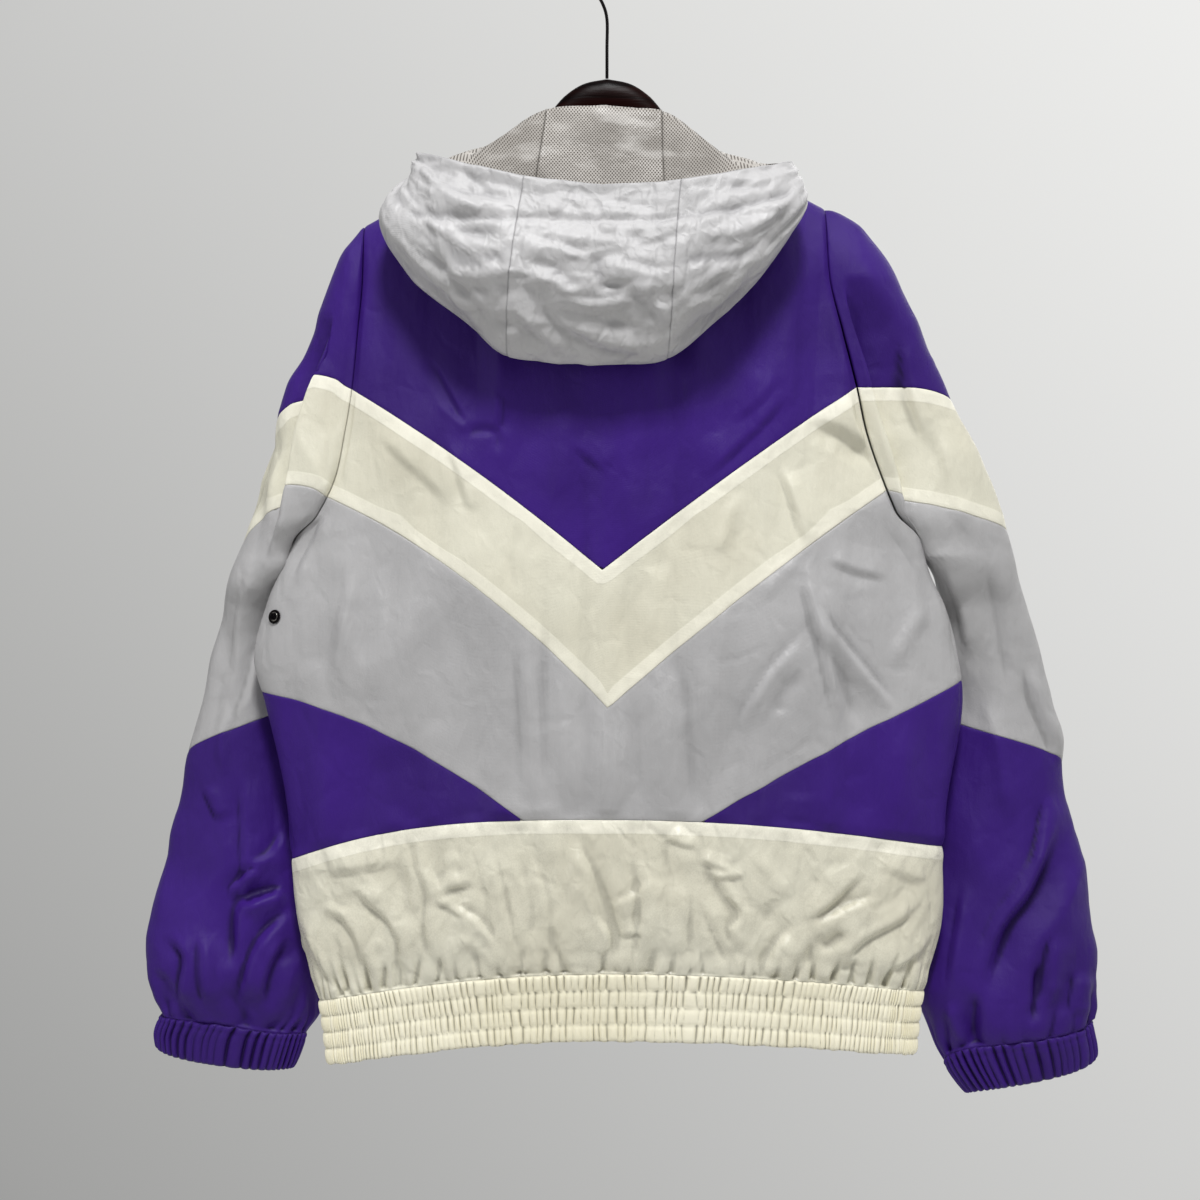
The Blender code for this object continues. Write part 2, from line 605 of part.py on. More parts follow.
def back_panel(name, spec, first, last, top, hem, rows, columns):
    """A panel of the back between two seams, from one share of its width to another."""
    def cut(s, r):
        share = mix(first, last, s)
        if top is NECK[BACK]:
            side = side_of(share)
            share = mix(side * neck_part(side, BACK, abs(share)), share, ease(r, 0.0, 0.5))
        return share, drop_between(share, seam_drop(share, top), seam_drop(share, hem), rows, r)

    wall(name, spec, lambda share, drop: torso(BACK, share, drop), cut,
         spaced(first, last, columns), rows, BACK, normal_at=torso_facing)


def front_panel(name, spec, side, first, top, hem, rows, columns):
    """A panel of one front between two seams, from a part of its width to the side."""
    def cut(s, r):
        part = mix(first, 1.0, s)
        if top is NECK[FRONT]:
            part = mix(neck_part(side, FRONT, part), part, ease(r, 0.0, 0.5))
        ends = front_drop(side, part, top), front_drop(side, part, hem)
        drop = drop_between(side * part, *ends, rows, r)
        return front_share(side, part, drop), drop

    wall(name, spec, lambda share, drop: torso(FRONT, share, drop), cut,
         spaced(first, 1.0, columns), rows, FRONT, normal_at=torso_facing)


def drop_between(share, top, hem, rows, r):
    """The drop of a row. One row of the grey panels runs out to the underarms."""
    if rows is not GREY_ROWS:
        return mix(top, hem, r)
    level = mix(mix(top, hem, UNDERARM_ROW), UNDERARM[side_of(share)], abs(share) ** 4)
    if r < UNDERARM_ROW:
        return mix(top, level, r / UNDERARM_ROW)
    return mix(level, hem, (r - UNDERARM_ROW) / (1 - UNDERARM_ROW))


def torso_facing(surface, share, drop, face):
    side = side_of(share)
    if abs(share) > 0.999 and drop < UNDERARM[side]:
        return armhole_mitre(side, face, drop)
    return facing(surface, share, drop, face)


def armhole_mitre(side, face, drop):
    """The mitre of an armhole's seam, between the ways that the torso and the sleeve face."""
    of_torso = facing(lambda share, at: torso(face, share, at), side, drop, face)
    along = tangents(lambda around, at: sleeve(side, around, at), face, drop, -1, 1)
    of_sleeve = -side * along[0].cross(along[1]).normalized()
    middle = (of_torso + of_sleeve).normalized()
    return middle / max(middle.dot(of_torso), MITRE_LIMIT)


def build_torso():
    tips = {side: crossing(lambda seam, part, side=side: seam_drop(side * part, seam))
            for side in (LEFT, RIGHT)}
    across = sorted({side * c for side, tip in tips.items() for c in (*TORSO_COLUMNS, tip)})
    back_panel("back_yoke", PURPLE, -1, 1, NECK[BACK], YOKE_HEM, YOKE_ROWS, across)
    back_panel("back_stripe", CREAM, -1, 1, YOKE_HEM, STRIPE_HEM, shares(3), across)
    back_panel("back_chevron", GREY, -1, 1, STRIPE_HEM, GREY_HEM, GREY_ROWS, across)
    back_panel("back_skirt", CREAM, -1, 1, SKIRT_TOP, BAND_TOP, shares(4), across)
    laps = set(across)
    for side, word in ((LEFT, "left"), (RIGHT, "right")):
        first, last = sorted((side * tips[side], side))
        back_panel(f"back_side_{word}", PURPLE, first, last, GREY_SIDE_HEM, SKIRT_TOP, shares(4), across)
        tip = crossing(lambda seam, part, side=side: front_drop(side, part, seam))
        half = sorted((*TORSO_COLUMNS, tip))
        front_panel(f"front_yoke_{word}", PURPLE, side, 0.0, NECK[FRONT], YOKE_HEM, YOKE_ROWS, half)
        front_panel(f"front_stripe_{word}", CREAM, side, 0.0, YOKE_HEM, STRIPE_HEM, shares(3), half)
        front_panel(f"front_chevron_{word}", GREY, side, 0.0, STRIPE_HEM, GREY_HEM, GREY_ROWS, half)
        front_panel(f"front_side_{word}", PURPLE, side, tip, GREY_SIDE_HEM, SKIRT_TOP, shares(4), half)
        front_panel(f"front_skirt_{word}", CREAM, side, 0.0, SKIRT_TOP, BAND_TOP, shares(4), half)
        laps |= {side * (2 - c) for c in half}
    build_band(sorted(laps))


def crossing(drop_at):
    """Where the grey panel's hem comes within a needle's width of the skirt's top."""
    part = 1.0
    while drop_at(SKIRT_TOP, part) - drop_at(GREY_SIDE_HEM, part) > 0.002:
        part -= 0.002
    return part


def build_band(laps):
    """The elastic hem band runs from the zip round the back to the zip again."""
    def surface(lap, drop):
        face = FRONT if abs(lap) > 1 else BACK
        side = side_of(lap)
        share = lap if face == BACK else front_share(side, 2 - abs(lap), drop)
        return torso(face, share, drop)

    def cut(s, r):
        lap = mix(-2, 2, s)
        if abs(lap) > 1:
            top, hem = (front_drop(side_of(lap), 2 - abs(lap), seam) for seam in (BAND_TOP, BAND_HEM))
        else:
            top, hem = (seam_drop(lap, seam) for seam in (BAND_TOP, BAND_HEM))
        return lap, mix(top, hem, r)

    wall("hem_band", IVORY, surface, cut, spaced(-2, 2, laps), shares(2), -1)


def build_sleeves():
    for side, word in ((LEFT, "left"), (RIGHT, "right")):
        columns = [part / 2 for part in PLEATS[side]["columns"]] + [0.5]
        columns += [1 - part / 2 for part in reversed(FRONT_SLEEVE_COLUMNS)]
        grey_top = seam_drop(side, STRIPE_HEM)
        arm = (UNDERARM[side] - grey_top) / (SLEEVE_SEAMS[side]["grey_hem"][0] - grey_top)
        grey_rows = [0.0, arm / 3, arm * 2 / 3, arm, mix(arm, 1, 0.33), mix(arm, 1, 0.66), 1.0]
        pieces = (
            ("cap", PURPLE, None, "stripe_top", YOKE_ROWS),
            ("stripe", CREAM, "stripe_top", "stripe_hem", shares(3)),
            ("grey", GREY, "stripe_hem", "grey_hem", grey_rows),
            ("lower", PURPLE, "grey_hem", "cuff_top", (0.0, 0.2, 0.42, 0.64, 0.82, 0.93, 1.0)),
            ("cuff", PURPLE, "cuff_top", "cuff_hem", (0.0, 1.0)),
        )
        for piece, spec, top, hem, rows in pieces:
            sleeve_panel(f"sleeve_{word}_{piece}", spec, side, top, hem, columns, rows)


def sleeve_panel(name, spec, side, top, hem, columns, rows):
    def cut(s, r):
        around = 2 * s - 1
        upper = cap_top(side, 1 - abs(around)) if top is None else sleeve_seam(side, top, around)
        return around, mix(upper, sleeve_seam(side, hem, around), r)

    def normal_at(surface, around, drop, outside):
        if abs(around) > 0.999 and drop < UNDERARM[side]:
            return armhole_mitre(side, BACK if around < 0 else FRONT, drop)
        return facing(surface, around, drop, outside)

    wall(name, spec, lambda around, drop: sleeve(side, around, drop), cut, columns, rows, -side,
         normal_at=normal_at)


def build_hood():
    sides = spaced(HOOD_SEAM, 1.0, HOOD_COLUMNS)
    panels = (
        ("left", -HOOD_SEAM, -1.0, sides),
        ("centre", -HOOD_SEAM, HOOD_SEAM, shares(2)),
        ("right", HOOD_SEAM, 1.0, sides),
    )
    layers = (("hood_shell", HOOD_GREY, 0.0), ("hood_lining", MESH, -CLOTH - LINING_GAP))
    for word, first, last, columns in panels:
        for layer, spec, lift in layers:
            wall(f"{layer}_{word}", spec, hood,
                 lambda s, r, first=first, last=last: (mix(first, last, s), r),
                 columns, HOOD_ROWS, 1, lift=lift)


# ---- zip, pockets and snaps ----

def front_line(drop):
    """The y of the jacket's front at the zip, down the collar and then the torso."""
    foot = neck_point(1.0)
    if drop > -foot.z:
        return torso(FRONT, share_at(RIGHT, ZIP_HALF, drop), drop).y
    low, high = 0.0, 1.0
    for _ in range(30):
        middle = (low + high) / 2
        if -hood(1.0, middle).z > drop:
            low = middle
        else:
            high = middle
    return hood(1.0, low).y


def build_zip():
    top = HOOD_RIBS[-1]["edge"][2]
    hem = BAND_HEM.at(0.0)
    def strip(name, spec, inner, outer, thick, lift):
        wall(name, spec, lambda across, drop: Vector((across, front_line(drop), -drop)),
             lambda s, r: (mix(inner, outer, s), mix(top, hem, r)), (0.0, 1.0), ZIP_ROWS, 1,
             thick=thick, lift=lift)

    strip("zip_tape_left", TAPE, -TAPE_OUTER, -TAPE_INNER, CLOTH, 0.0)
    strip("zip_tape_right", TAPE, TAPE_INNER, TAPE_OUTER, CLOTH, 0.0)
    strip("zip_coil", COIL, -COIL_HALF, COIL_HALF, COIL_THICK, (COIL_THICK - CLOTH) / 2)


SLIDER = {"drop": 0.204, "wide": 0.008, "tall": 0.012, "thick": 0.002, "clear": 0.0010,
          "bridge_wire": 0.0008, "bridge_reach": 0.0048, "bridge_half": 0.0042}
PULL = {"wide": 0.0072, "long": 0.030, "thick": 0.0012, "bar": 0.0006, "window": 0.0078,
        "window_half": 0.0022, "axis_out": 0.0030, "axis_down": 0.0015}


def box(low, high):
    """A closed box between two corners, as a bmesh."""
    bm = bmesh.new()
    bmesh.ops.create_cube(bm, size=1.0)
    size = Vector(high) - Vector(low)
    bmesh.ops.scale(bm, verts=bm.verts, vec=size)
    bmesh.ops.translate(bm, verts=bm.verts, vec=(Vector(high) + Vector(low)) / 2)
    return bm


def slider_face():
    """The y of the slider's underside, clear of the coil."""
    half = SLIDER["tall"] / 2
    return max(front_line(SLIDER["drop"] + step) for step in (-half, 0, half)) + SLIDER["clear"]


def build_slider():
    under = slider_face()
    centre = -SLIDER["drop"]
    half_x, half_z = SLIDER["wide"] / 2, SLIDER["tall"] / 2
    bm = box((-half_x, under, centre - half_z), (half_x, under + SLIDER["thick"], centre + half_z))
    bmesh.ops.bevel(bm, geom=bm.edges[:], offset=0.0007, segments=1, profile=0.5, affect="EDGES")
    body = finish("zip_slider", bm, METAL, smooth=False)
    reach, half = SLIDER["bridge_reach"], SLIDER["bridge_half"]
    foot = SLIDER["thick"] / 2
    route = [(foot, -half), (reach * 0.75, -half * 0.9), (reach, -half * 0.45), (reach, half * 0.45),
             (reach * 0.75, half * 0.9), (foot, half)]
    points = [(0.0, under + out, centre + up) for out, up in route]
    bridge = tube("zip_bridge", points, SLIDER["bridge_wire"], METAL, CUTTERS)
    bridge.hide_render = True
    bridge.display_type = "WIRE"
    joined = body.modifiers.new("bridge", "BOOLEAN")
    joined.operation = "UNION"
    joined.object = bridge
    return body


def build_pull():
    axis_y = slider_face() + PULL["axis_out"]
    axis_z = -SLIDER["drop"] - PULL["axis_down"]
    half_x, half_y = PULL["wide"] / 2, PULL["thick"] / 2
    bm = box((-half_x, -half_y, -PULL["long"]), (half_x, half_y, PULL["bar"]))
    bmesh.ops.bevel(bm, geom=bm.edges[:], offset=0.0003, segments=1, profile=0.5, affect="EDGES")
    pull = finish("zip_pull", bm, METAL, smooth=False)
    hole = box((-PULL["window_half"], -0.003, -PULL["window"]), (PULL["window_half"], 0.003, -PULL["bar"]))
    cutter = finish("zip_pull_window", hole, METAL, smooth=False)
    PARTS.objects.unlink(cutter)
    CUTTERS.objects.link(cutter)
    cutter.hide_render = True
    cutter.display_type = "WIRE"
    cut = pull.modifiers.new("window", "BOOLEAN")
    cut.operation = "DIFFERENCE"
    cut.object = cutter
    hinge = bpy.data.objects.new("zip_pull_hinge", None)
    hinge.location = (0.0, axis_y, axis_z)
    PARTS.objects.link(hinge)
    pull.parent = hinge
    cutter.parent = hinge


def tube(name, points, radius, spec, collection, steps=2):
    """A wire along the points, as a closed mesh."""
    curve = bpy.data.curves.new(name, "CURVE")
    curve.dimensions = "3D"
    curve.bevel_depth = radius
    curve.bevel_resolution = steps
    curve.use_fill_caps = True
    line = curve.splines.new("POLY")
    line.points.add(len(points) - 1)
    for spot, point in zip(line.points, points):
        spot.co = (*point, 1.0)
    guide = bpy.data.objects.new(name + "_line", curve)
    bpy.context.scene.collection.objects.link(guide)
    bpy.context.view_layer.update()
    graph = bpy.context.evaluated_depsgraph_get()
    mesh = bpy.data.meshes.new_from_object(guide.evaluated_get(graph))
    bpy.data.objects.remove(guide)
    bm = bmesh.new()
    bm.from_mesh(mesh)
    bpy.data.meshes.remove(mesh)
    bmesh.ops.remove_doubles(bm, verts=bm.verts[:], dist=1e-6)
    made = finish(name, bm, spec)
    if collection is not PARTS:
        PARTS.objects.unlink(made)
        collection.objects.link(made)
    return made


POCKET = {"first": 0.73, "last": 0.97, "top": 0.572, "hem": 0.660, "lift": 0.0010,
          "snap_share": 0.80, "snap_drop": 0.5838}


def build_pockets():
    """A welt stands along each side seam, with a press stud: turned to the back at left."""
    for side, word, face in ((LEFT, "left", BACK), (RIGHT, "right", FRONT)):
        def cut(s, r, side=side):
            share = side * mix(POCKET["first"], POCKET["last"], s)
            return share, mix(POCKET["top"], POCKET["hem"], r)

        wall(f"pocket_welt_{word}", GREY, lambda share, drop, face=face: torso(face, share, drop),
             cut, shares(4), shares(5), face, lift=POCKET["lift"] + CLOTH)
        build_snap(f"snap_{word}", side, face)


def build_snap(name, side, face):
    """A press stud's socket: a domed ring round a small well."""
    def surface(share, drop):
        return torso(face, share, drop)

    spot = side * POCKET["snap_share"], POCKET["snap_drop"]
    normal = facing(surface, *spot, face)
    centre = surface(*spot) + normal * (POCKET["lift"] + CLOTH + SNAP_CLEAR + SNAP_HEIGHT / 2)
    bm = bmesh.new()
    bmesh.ops.create_cone(bm, cap_ends=True, segments=16, radius1=SNAP_RADIUS,
                          radius2=SNAP_RADIUS * 0.88, depth=SNAP_HEIGHT)
    top = max(bm.faces, key=lambda f: f.calc_center_median().z)
    bmesh.ops.inset_region(bm, faces=[top], thickness=SNAP_RADIUS * 0.4, depth=0.0)
    bmesh.ops.translate(bm, verts=top.verts[:], vec=(0, 0, -SNAP_HEIGHT * 0.5))
    turn = Vector((0, 0, 1)).rotation_difference(normal).to_matrix().to_4x4()
    bmesh.ops.transform(bm, matrix=Matrix.Translation(centre) @ turn, verts=bm.verts)
    finish(name, bm, METAL)


# ---- the hanger ----

def hanger_top(across):
    """The drop of the bar's top line, just under the shoulder's inner face."""
    crown = HANGER_CROWN.at("drop", abs(across))
    if abs(across) <= HANGER_CROWN.keys[-1]:
        return crown
    return ROOF.at("drop", across) + CLOTH + 0.0008


def build_hanger():
    stations = [-1.0, -0.98, -0.9, -0.75, -0.6, -0.48, -0.38, -0.32, -0.275, -0.22, -0.17, -0.1, 0.0]
    places = [-s * HANGER_TIP[LEFT] * -1 for s in stations]
    places += [-s * HANGER_TIP[RIGHT] for s in reversed(stations[:-1])]
    bm = bmesh.new()
    ring = None
    for across in places:
        tall = mix(0.017, 0.010, ease(abs(across), 0.02, 0.19))
        tip = min(HANGER_TIP[side_of(across)] - abs(across), 0.004) / 0.004
        scale = mix(0.55, 1.0, tip)
        top = hanger_top(across) + (1 - scale) * tall
        shape = Matrix.Translation((across, 0, -(top + tall * scale)))
        shape = shape @ Matrix.Rotation(math.pi / 2, 4, "Y")
        made = bmesh.ops.create_circle(bm, segments=12, radius=1.0, matrix=Matrix())
        verts = made["verts"]
        bmesh.ops.scale(bm, verts=verts, vec=(tall * scale, HANGER_HALF_Y * scale, 1))
        bmesh.ops.transform(bm, matrix=shape, verts=verts)
        edges = list({edge for vertex in verts for edge in vertex.link_edges})
        if ring is None:
            bmesh.ops.contextual_create(bm, geom=edges)
        else:
            bmesh.ops.bridge_loops(bm, edges=ring + edges)
        ring = edges
    bmesh.ops.contextual_create(bm, geom=ring)
    finish("hanger_wood", bm, WOOD)


def build_hook():
    crest = HOOK_WIRE - HOOK_RADIUS
    route = [Vector((x, 0, z)) for x, z in HOOK_ROUTE]
    for step in range(16):
        angle = math.radians(mix(180, -35, step / 15))
        route.append(Vector((HOOK_RADIUS * math.cos(angle), 0, crest + HOOK_RADIUS * math.sin(angle))))
    tube("hanger_hook", route, HOOK_WIRE, METAL, PARTS)


def main():
    global PARTS, CUTTERS
    for old in list(bpy.data.objects):
        bpy.data.objects.remove(old)
    PARTS = bpy.data.collections.new("windbreaker_jacket")
    CUTTERS = bpy.data.collections.new("cutters")
    bpy.context.scene.collection.children.link(PARTS)
    bpy.context.scene.collection.children.link(CUTTERS)
    build_torso()
    build_sleeves()
    build_hood()
    build_zip()
    build_slider()
    build_pull()
    build_pockets()
    build_hanger()
    build_hook()


main()
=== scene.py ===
import math

import bmesh
import bpy
import numpy as np
from mathutils import Matrix, Vector


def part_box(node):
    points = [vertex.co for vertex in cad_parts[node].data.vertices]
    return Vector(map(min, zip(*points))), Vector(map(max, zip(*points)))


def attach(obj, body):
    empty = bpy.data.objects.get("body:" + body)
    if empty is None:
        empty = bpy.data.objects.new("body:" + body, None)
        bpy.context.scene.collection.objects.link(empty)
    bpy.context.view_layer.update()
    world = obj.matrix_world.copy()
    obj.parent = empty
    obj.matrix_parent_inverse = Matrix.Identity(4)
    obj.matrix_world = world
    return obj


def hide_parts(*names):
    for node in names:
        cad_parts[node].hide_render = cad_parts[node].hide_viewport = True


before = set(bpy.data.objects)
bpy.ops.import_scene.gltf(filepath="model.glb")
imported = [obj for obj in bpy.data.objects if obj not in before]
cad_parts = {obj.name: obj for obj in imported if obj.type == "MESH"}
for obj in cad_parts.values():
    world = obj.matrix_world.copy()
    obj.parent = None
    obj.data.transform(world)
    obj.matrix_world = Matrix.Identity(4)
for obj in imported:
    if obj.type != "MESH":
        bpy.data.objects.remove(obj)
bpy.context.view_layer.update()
print("frame loaded:", len(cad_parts), "nodes")

back, front = -1, 1          # walls of the jacket, along Y
left, right = -1, 1          # sides of the wearer, along X


def slopesOf(keys, values):
    # the slope at each key, from one neighbour to the other
    spots = np.arange(len(keys))
    before, after = np.maximum(spots - 1, 0), np.minimum(spots + 1, len(keys) - 1)
    gap = keys[after] - keys[before]
    return (values[after] - values[before]) / gap.reshape(-1, *[1] * (values.ndim - 1))


def stepOf(keys, key):
    # the step between two keys that each key lies in, its length and the part of it that is gone
    low = np.clip(np.searchsorted(keys, key, side="right") - 1, 0, len(keys) - 2)
    span = keys[low + 1] - keys[low]
    return low, span, (key - keys[low]) / span


def curve(first, step, part, start, end):
    # a cubic over one step; start and end are its slopes there, less the step
    return first + part * step - part * (part - 1) * ((1 - part) * start - part * end)


class Profile:
    # rows of named columns, with a smooth curve through them
    def __init__(self, names, *rows):
        table = np.array(rows, float)
        self.keys = table[:, 0]
        self.columns = dict(zip(names, table.T))
        self.slopes = {name: slopesOf(self.keys, column) for name, column in self.columns.items()}

    def at(self, name, key):
        values, slopes = self.columns[name], self.slopes[name]
        low, span, part = stepOf(self.keys, np.clip(key, self.keys[0], self.keys[-1]))
        step = values[low + 1] - values[low]
        return curve(values[low], step, part, slopes[low] * span - step, slopes[low + 1] * span - step)


def mix(a, b, part):
    return a + (b - a) * part


def ease(value, low, high):
    part = np.clip((value - low) / (high - low), 0.0, 1.0)
    return part * part * (3 - 2 * part)


def bump(value, centre, reach):
    away = np.minimum(np.abs(value - centre) / reach, 1.0)
    return np.cos(away * math.pi / 2) ** 2


def unit(vectors):
    return vectors / np.maximum(np.linalg.norm(vectors, axis=-1, keepdims=True), 1e-12)


def together(*values):
    return np.broadcast_arrays(*(np.asarray(value, float) for value in values))


def sideOf(value):
    return np.where(value < 0, left, right)


# the hanging form, the same as the solids': drops run down from the hook, turns and shares round the body

body = {"roundness": 0.85, "neckHalf": 0.070, "neckDipBack": 0.013, "neckDipFront": 0.058,
        "neckRise": 0.0006, "shoulderRoll": 0.055, "capStart": 0.0006, "capSlope": 0.0016,
        "zipHalf": 0.0068, "guess": 0.26, "pitBlend": 0.04, "armBlend": 0.09,
        "settleRounds": 18, "settlePace": 0.6}
underarm = {left: 0.5395, right: 0.5345}

torsoRows = Profile(
    ("drop", "left", "right", "back", "front", "armLeft", "armRight"),
    (0.180, 0.2380, 0.2140, 0.041, 0.039, 0.2055, 0.1850),
    (0.240, 0.2380, 0.2160, 0.043, 0.041, 0.2055, 0.1840),
    (0.300, 0.2380, 0.2220, 0.046, 0.044, 0.2040, 0.1855),
    (0.345, 0.2400, 0.2310, 0.047, 0.045, 0.2080, 0.1960),
    (0.390, 0.2450, 0.2380, 0.048, 0.046, 0.2125, 0.2075),
    (0.430, 0.2500, 0.2430, 0.048, 0.046, 0.2190, 0.2165),
    (0.470, 0.2570, 0.2495, 0.048, 0.046, 0.2280, 0.2310),
    (0.505, 0.2640, 0.2580, 0.048, 0.047, 0.2470, 0.2470),
    (0.537, 0.2715, 0.2680, 0.049, 0.048, 0.2715, 0.2680),
    (0.580, 0.2905, 0.2885, 0.050, 0.049, 0.2905, 0.2885),
    (0.620, 0.2985, 0.2985, 0.050, 0.049, 0.2985, 0.2985),
    (0.655, 0.2880, 0.3015, 0.050, 0.049, 0.2880, 0.3015),
    (0.700, 0.2775, 0.2960, 0.050, 0.049, 0.2775, 0.2960),
    (0.760, 0.2700, 0.2850, 0.050, 0.048, 0.2700, 0.2850),
    (0.845, 0.2620, 0.2840, 0.048, 0.046, 0.2620, 0.2840),
    (0.905, 0.2450, 0.2680, 0.037, 0.036, 0.2450, 0.2680),
    (0.965, 0.2370, 0.2610, 0.034, 0.034, 0.2370, 0.2610),
)

roof = Profile(
    ("across", "drop"),
    (-0.2700, 0.2900), (-0.2055, 0.2525), (-0.0700, 0.1820), (0.0000, 0.1600),
    (0.0700, 0.1810), (0.1860, 0.2385), (0.2500, 0.2720),
)

sleeveNames = ("drop", "outer", "inner", "outerY", "innerY", "back", "front")
sleeveRows = {
    left: Profile(
        sleeveNames,
        (0.2525, 0.2065, 0.2050, 0.000, 0.000, 0.000, 0.000),
        (0.259, 0.2110, 0.2050, 0.000, 0.000, 0.001, 0.001),
        (0.280, 0.2260, 0.2060, 0.000, 0.000, 0.003, 0.004),
        (0.320, 0.2430, 0.2100, 0.002, 0.000, 0.006, 0.008),
        (0.400, 0.2720, 0.2200, 0.006, 0.000, 0.009, 0.014),
        (0.460, 0.2930, 0.2350, 0.011, 0.000, 0.013, 0.020),
        (0.520, 0.3140, 0.2600, 0.017, 0.000, 0.019, 0.028),
        (0.5395, 0.3205, 0.2725, 0.020, 0.001, 0.022, 0.031),
        (0.556, 0.3260, 0.2835, 0.024, 0.013, 0.025, 0.033),
        (0.575, 0.3320, 0.2870, 0.030, 0.032, 0.026, 0.035),
        (0.620, 0.3450, 0.2760, 0.036, 0.051, 0.026, 0.036),
        (0.700, 0.3640, 0.2620, 0.038, 0.050, 0.029, 0.036),
        (0.800, 0.3830, 0.2560, 0.036, 0.044, 0.032, 0.036),
        (0.855, 0.3980, 0.2500, 0.034, 0.040, 0.038, 0.040),
        (0.895, 0.3985, 0.2450, 0.032, 0.036, 0.039, 0.040),
        (0.928, 0.3870, 0.2490, 0.030, 0.034, 0.028, 0.029),
        (0.9465, 0.3905, 0.2615, 0.030, 0.032, 0.024, 0.024),
        (0.977, 0.3880, 0.2735, 0.030, 0.032, 0.023, 0.023),
    ),
    right: Profile(
        sleeveNames,
        (0.2370, 0.1850, 0.1830, 0.000, 0.000, 0.000, 0.000),
        (0.243, 0.2000, 0.1830, 0.000, 0.000, 0.001, 0.001),
        (0.256, 0.2190, 0.1840, 0.000, 0.000, 0.003, 0.003),
        (0.280, 0.2360, 0.1850, 0.000, 0.000, 0.005, 0.005),
        (0.320, 0.2550, 0.1900, 0.002, 0.000, 0.008, 0.009),
        (0.390, 0.2900, 0.2070, 0.006, 0.000, 0.012, 0.015),
        (0.460, 0.3260, 0.2280, 0.011, 0.000, 0.015, 0.021),
        (0.512, 0.3425, 0.2530, 0.016, 0.000, 0.020, 0.028),
        (0.5345, 0.3510, 0.2690, 0.020, 0.001, 0.023, 0.031),
        (0.552, 0.3570, 0.2810, 0.024, 0.013, 0.025, 0.033),
        (0.575, 0.3650, 0.2870, 0.030, 0.032, 0.026, 0.035),
        (0.630, 0.3800, 0.2780, 0.036, 0.055, 0.028, 0.036),
        (0.700, 0.3940, 0.2770, 0.038, 0.055, 0.030, 0.036),
        (0.790, 0.4120, 0.2700, 0.036, 0.046, 0.034, 0.036),
        (0.865, 0.4245, 0.2680, 0.034, 0.040, 0.039, 0.040),
        (0.907, 0.4220, 0.2680, 0.032, 0.036, 0.040, 0.041),
        (0.940, 0.4200, 0.2790, 0.030, 0.034, 0.036, 0.036),
        (0.963, 0.4240, 0.2885, 0.030, 0.032, 0.028, 0.028),
        (0.998, 0.4210, 0.3130, 0.030, 0.032, 0.023, 0.023),
    ),
}
pleats = {
    left: {"edge": 0.30, "root": 0.47, "past": 0.12, "out": 0.009, "backIn": 0.017, "deep": 0.014,
           "rows": Profile(("drop", "open"), (0.33, 0.0), (0.39, 1.0), (0.48, 1.0), (0.535, 0.0))},
    right: {"edge": 0.07, "root": 0.21, "past": 0.12, "out": 0.002, "backIn": 0.015, "deep": 0.015,
            "rows": Profile(("drop", "open"), (0.30, 0.0), (0.35, 1.0), (0.47, 1.0), (0.53, 0.0))},
}
sleeveSeams = {   # drops at the armhole, the pleat's edge, past the pleat and the outer fold
    left: {"stripeTop": (None, 0.382, 0.402, 0.4205), "stripeHem": (None, 0.474, 0.495, 0.5230),
           "greyHem": (0.662, 0.667, 0.682, 0.7035), "cuffTop": (0.9455, 0.9410, 0.9310, 0.9285),
           "cuffHem": (0.9760, 0.9730, 0.9660, 0.9560)},
    right: {"stripeTop": (None, 0.3925, 0.3910, 0.4000), "stripeHem": (None, 0.4800, 0.4900, 0.5125),
            "greyHem": (0.666, 0.668, 0.677, 0.7130), "cuffTop": (0.9700, 0.9660, 0.9510, 0.9320),
            "cuffHem": (0.9980, 0.9965, 0.9885, 0.9635)},
}

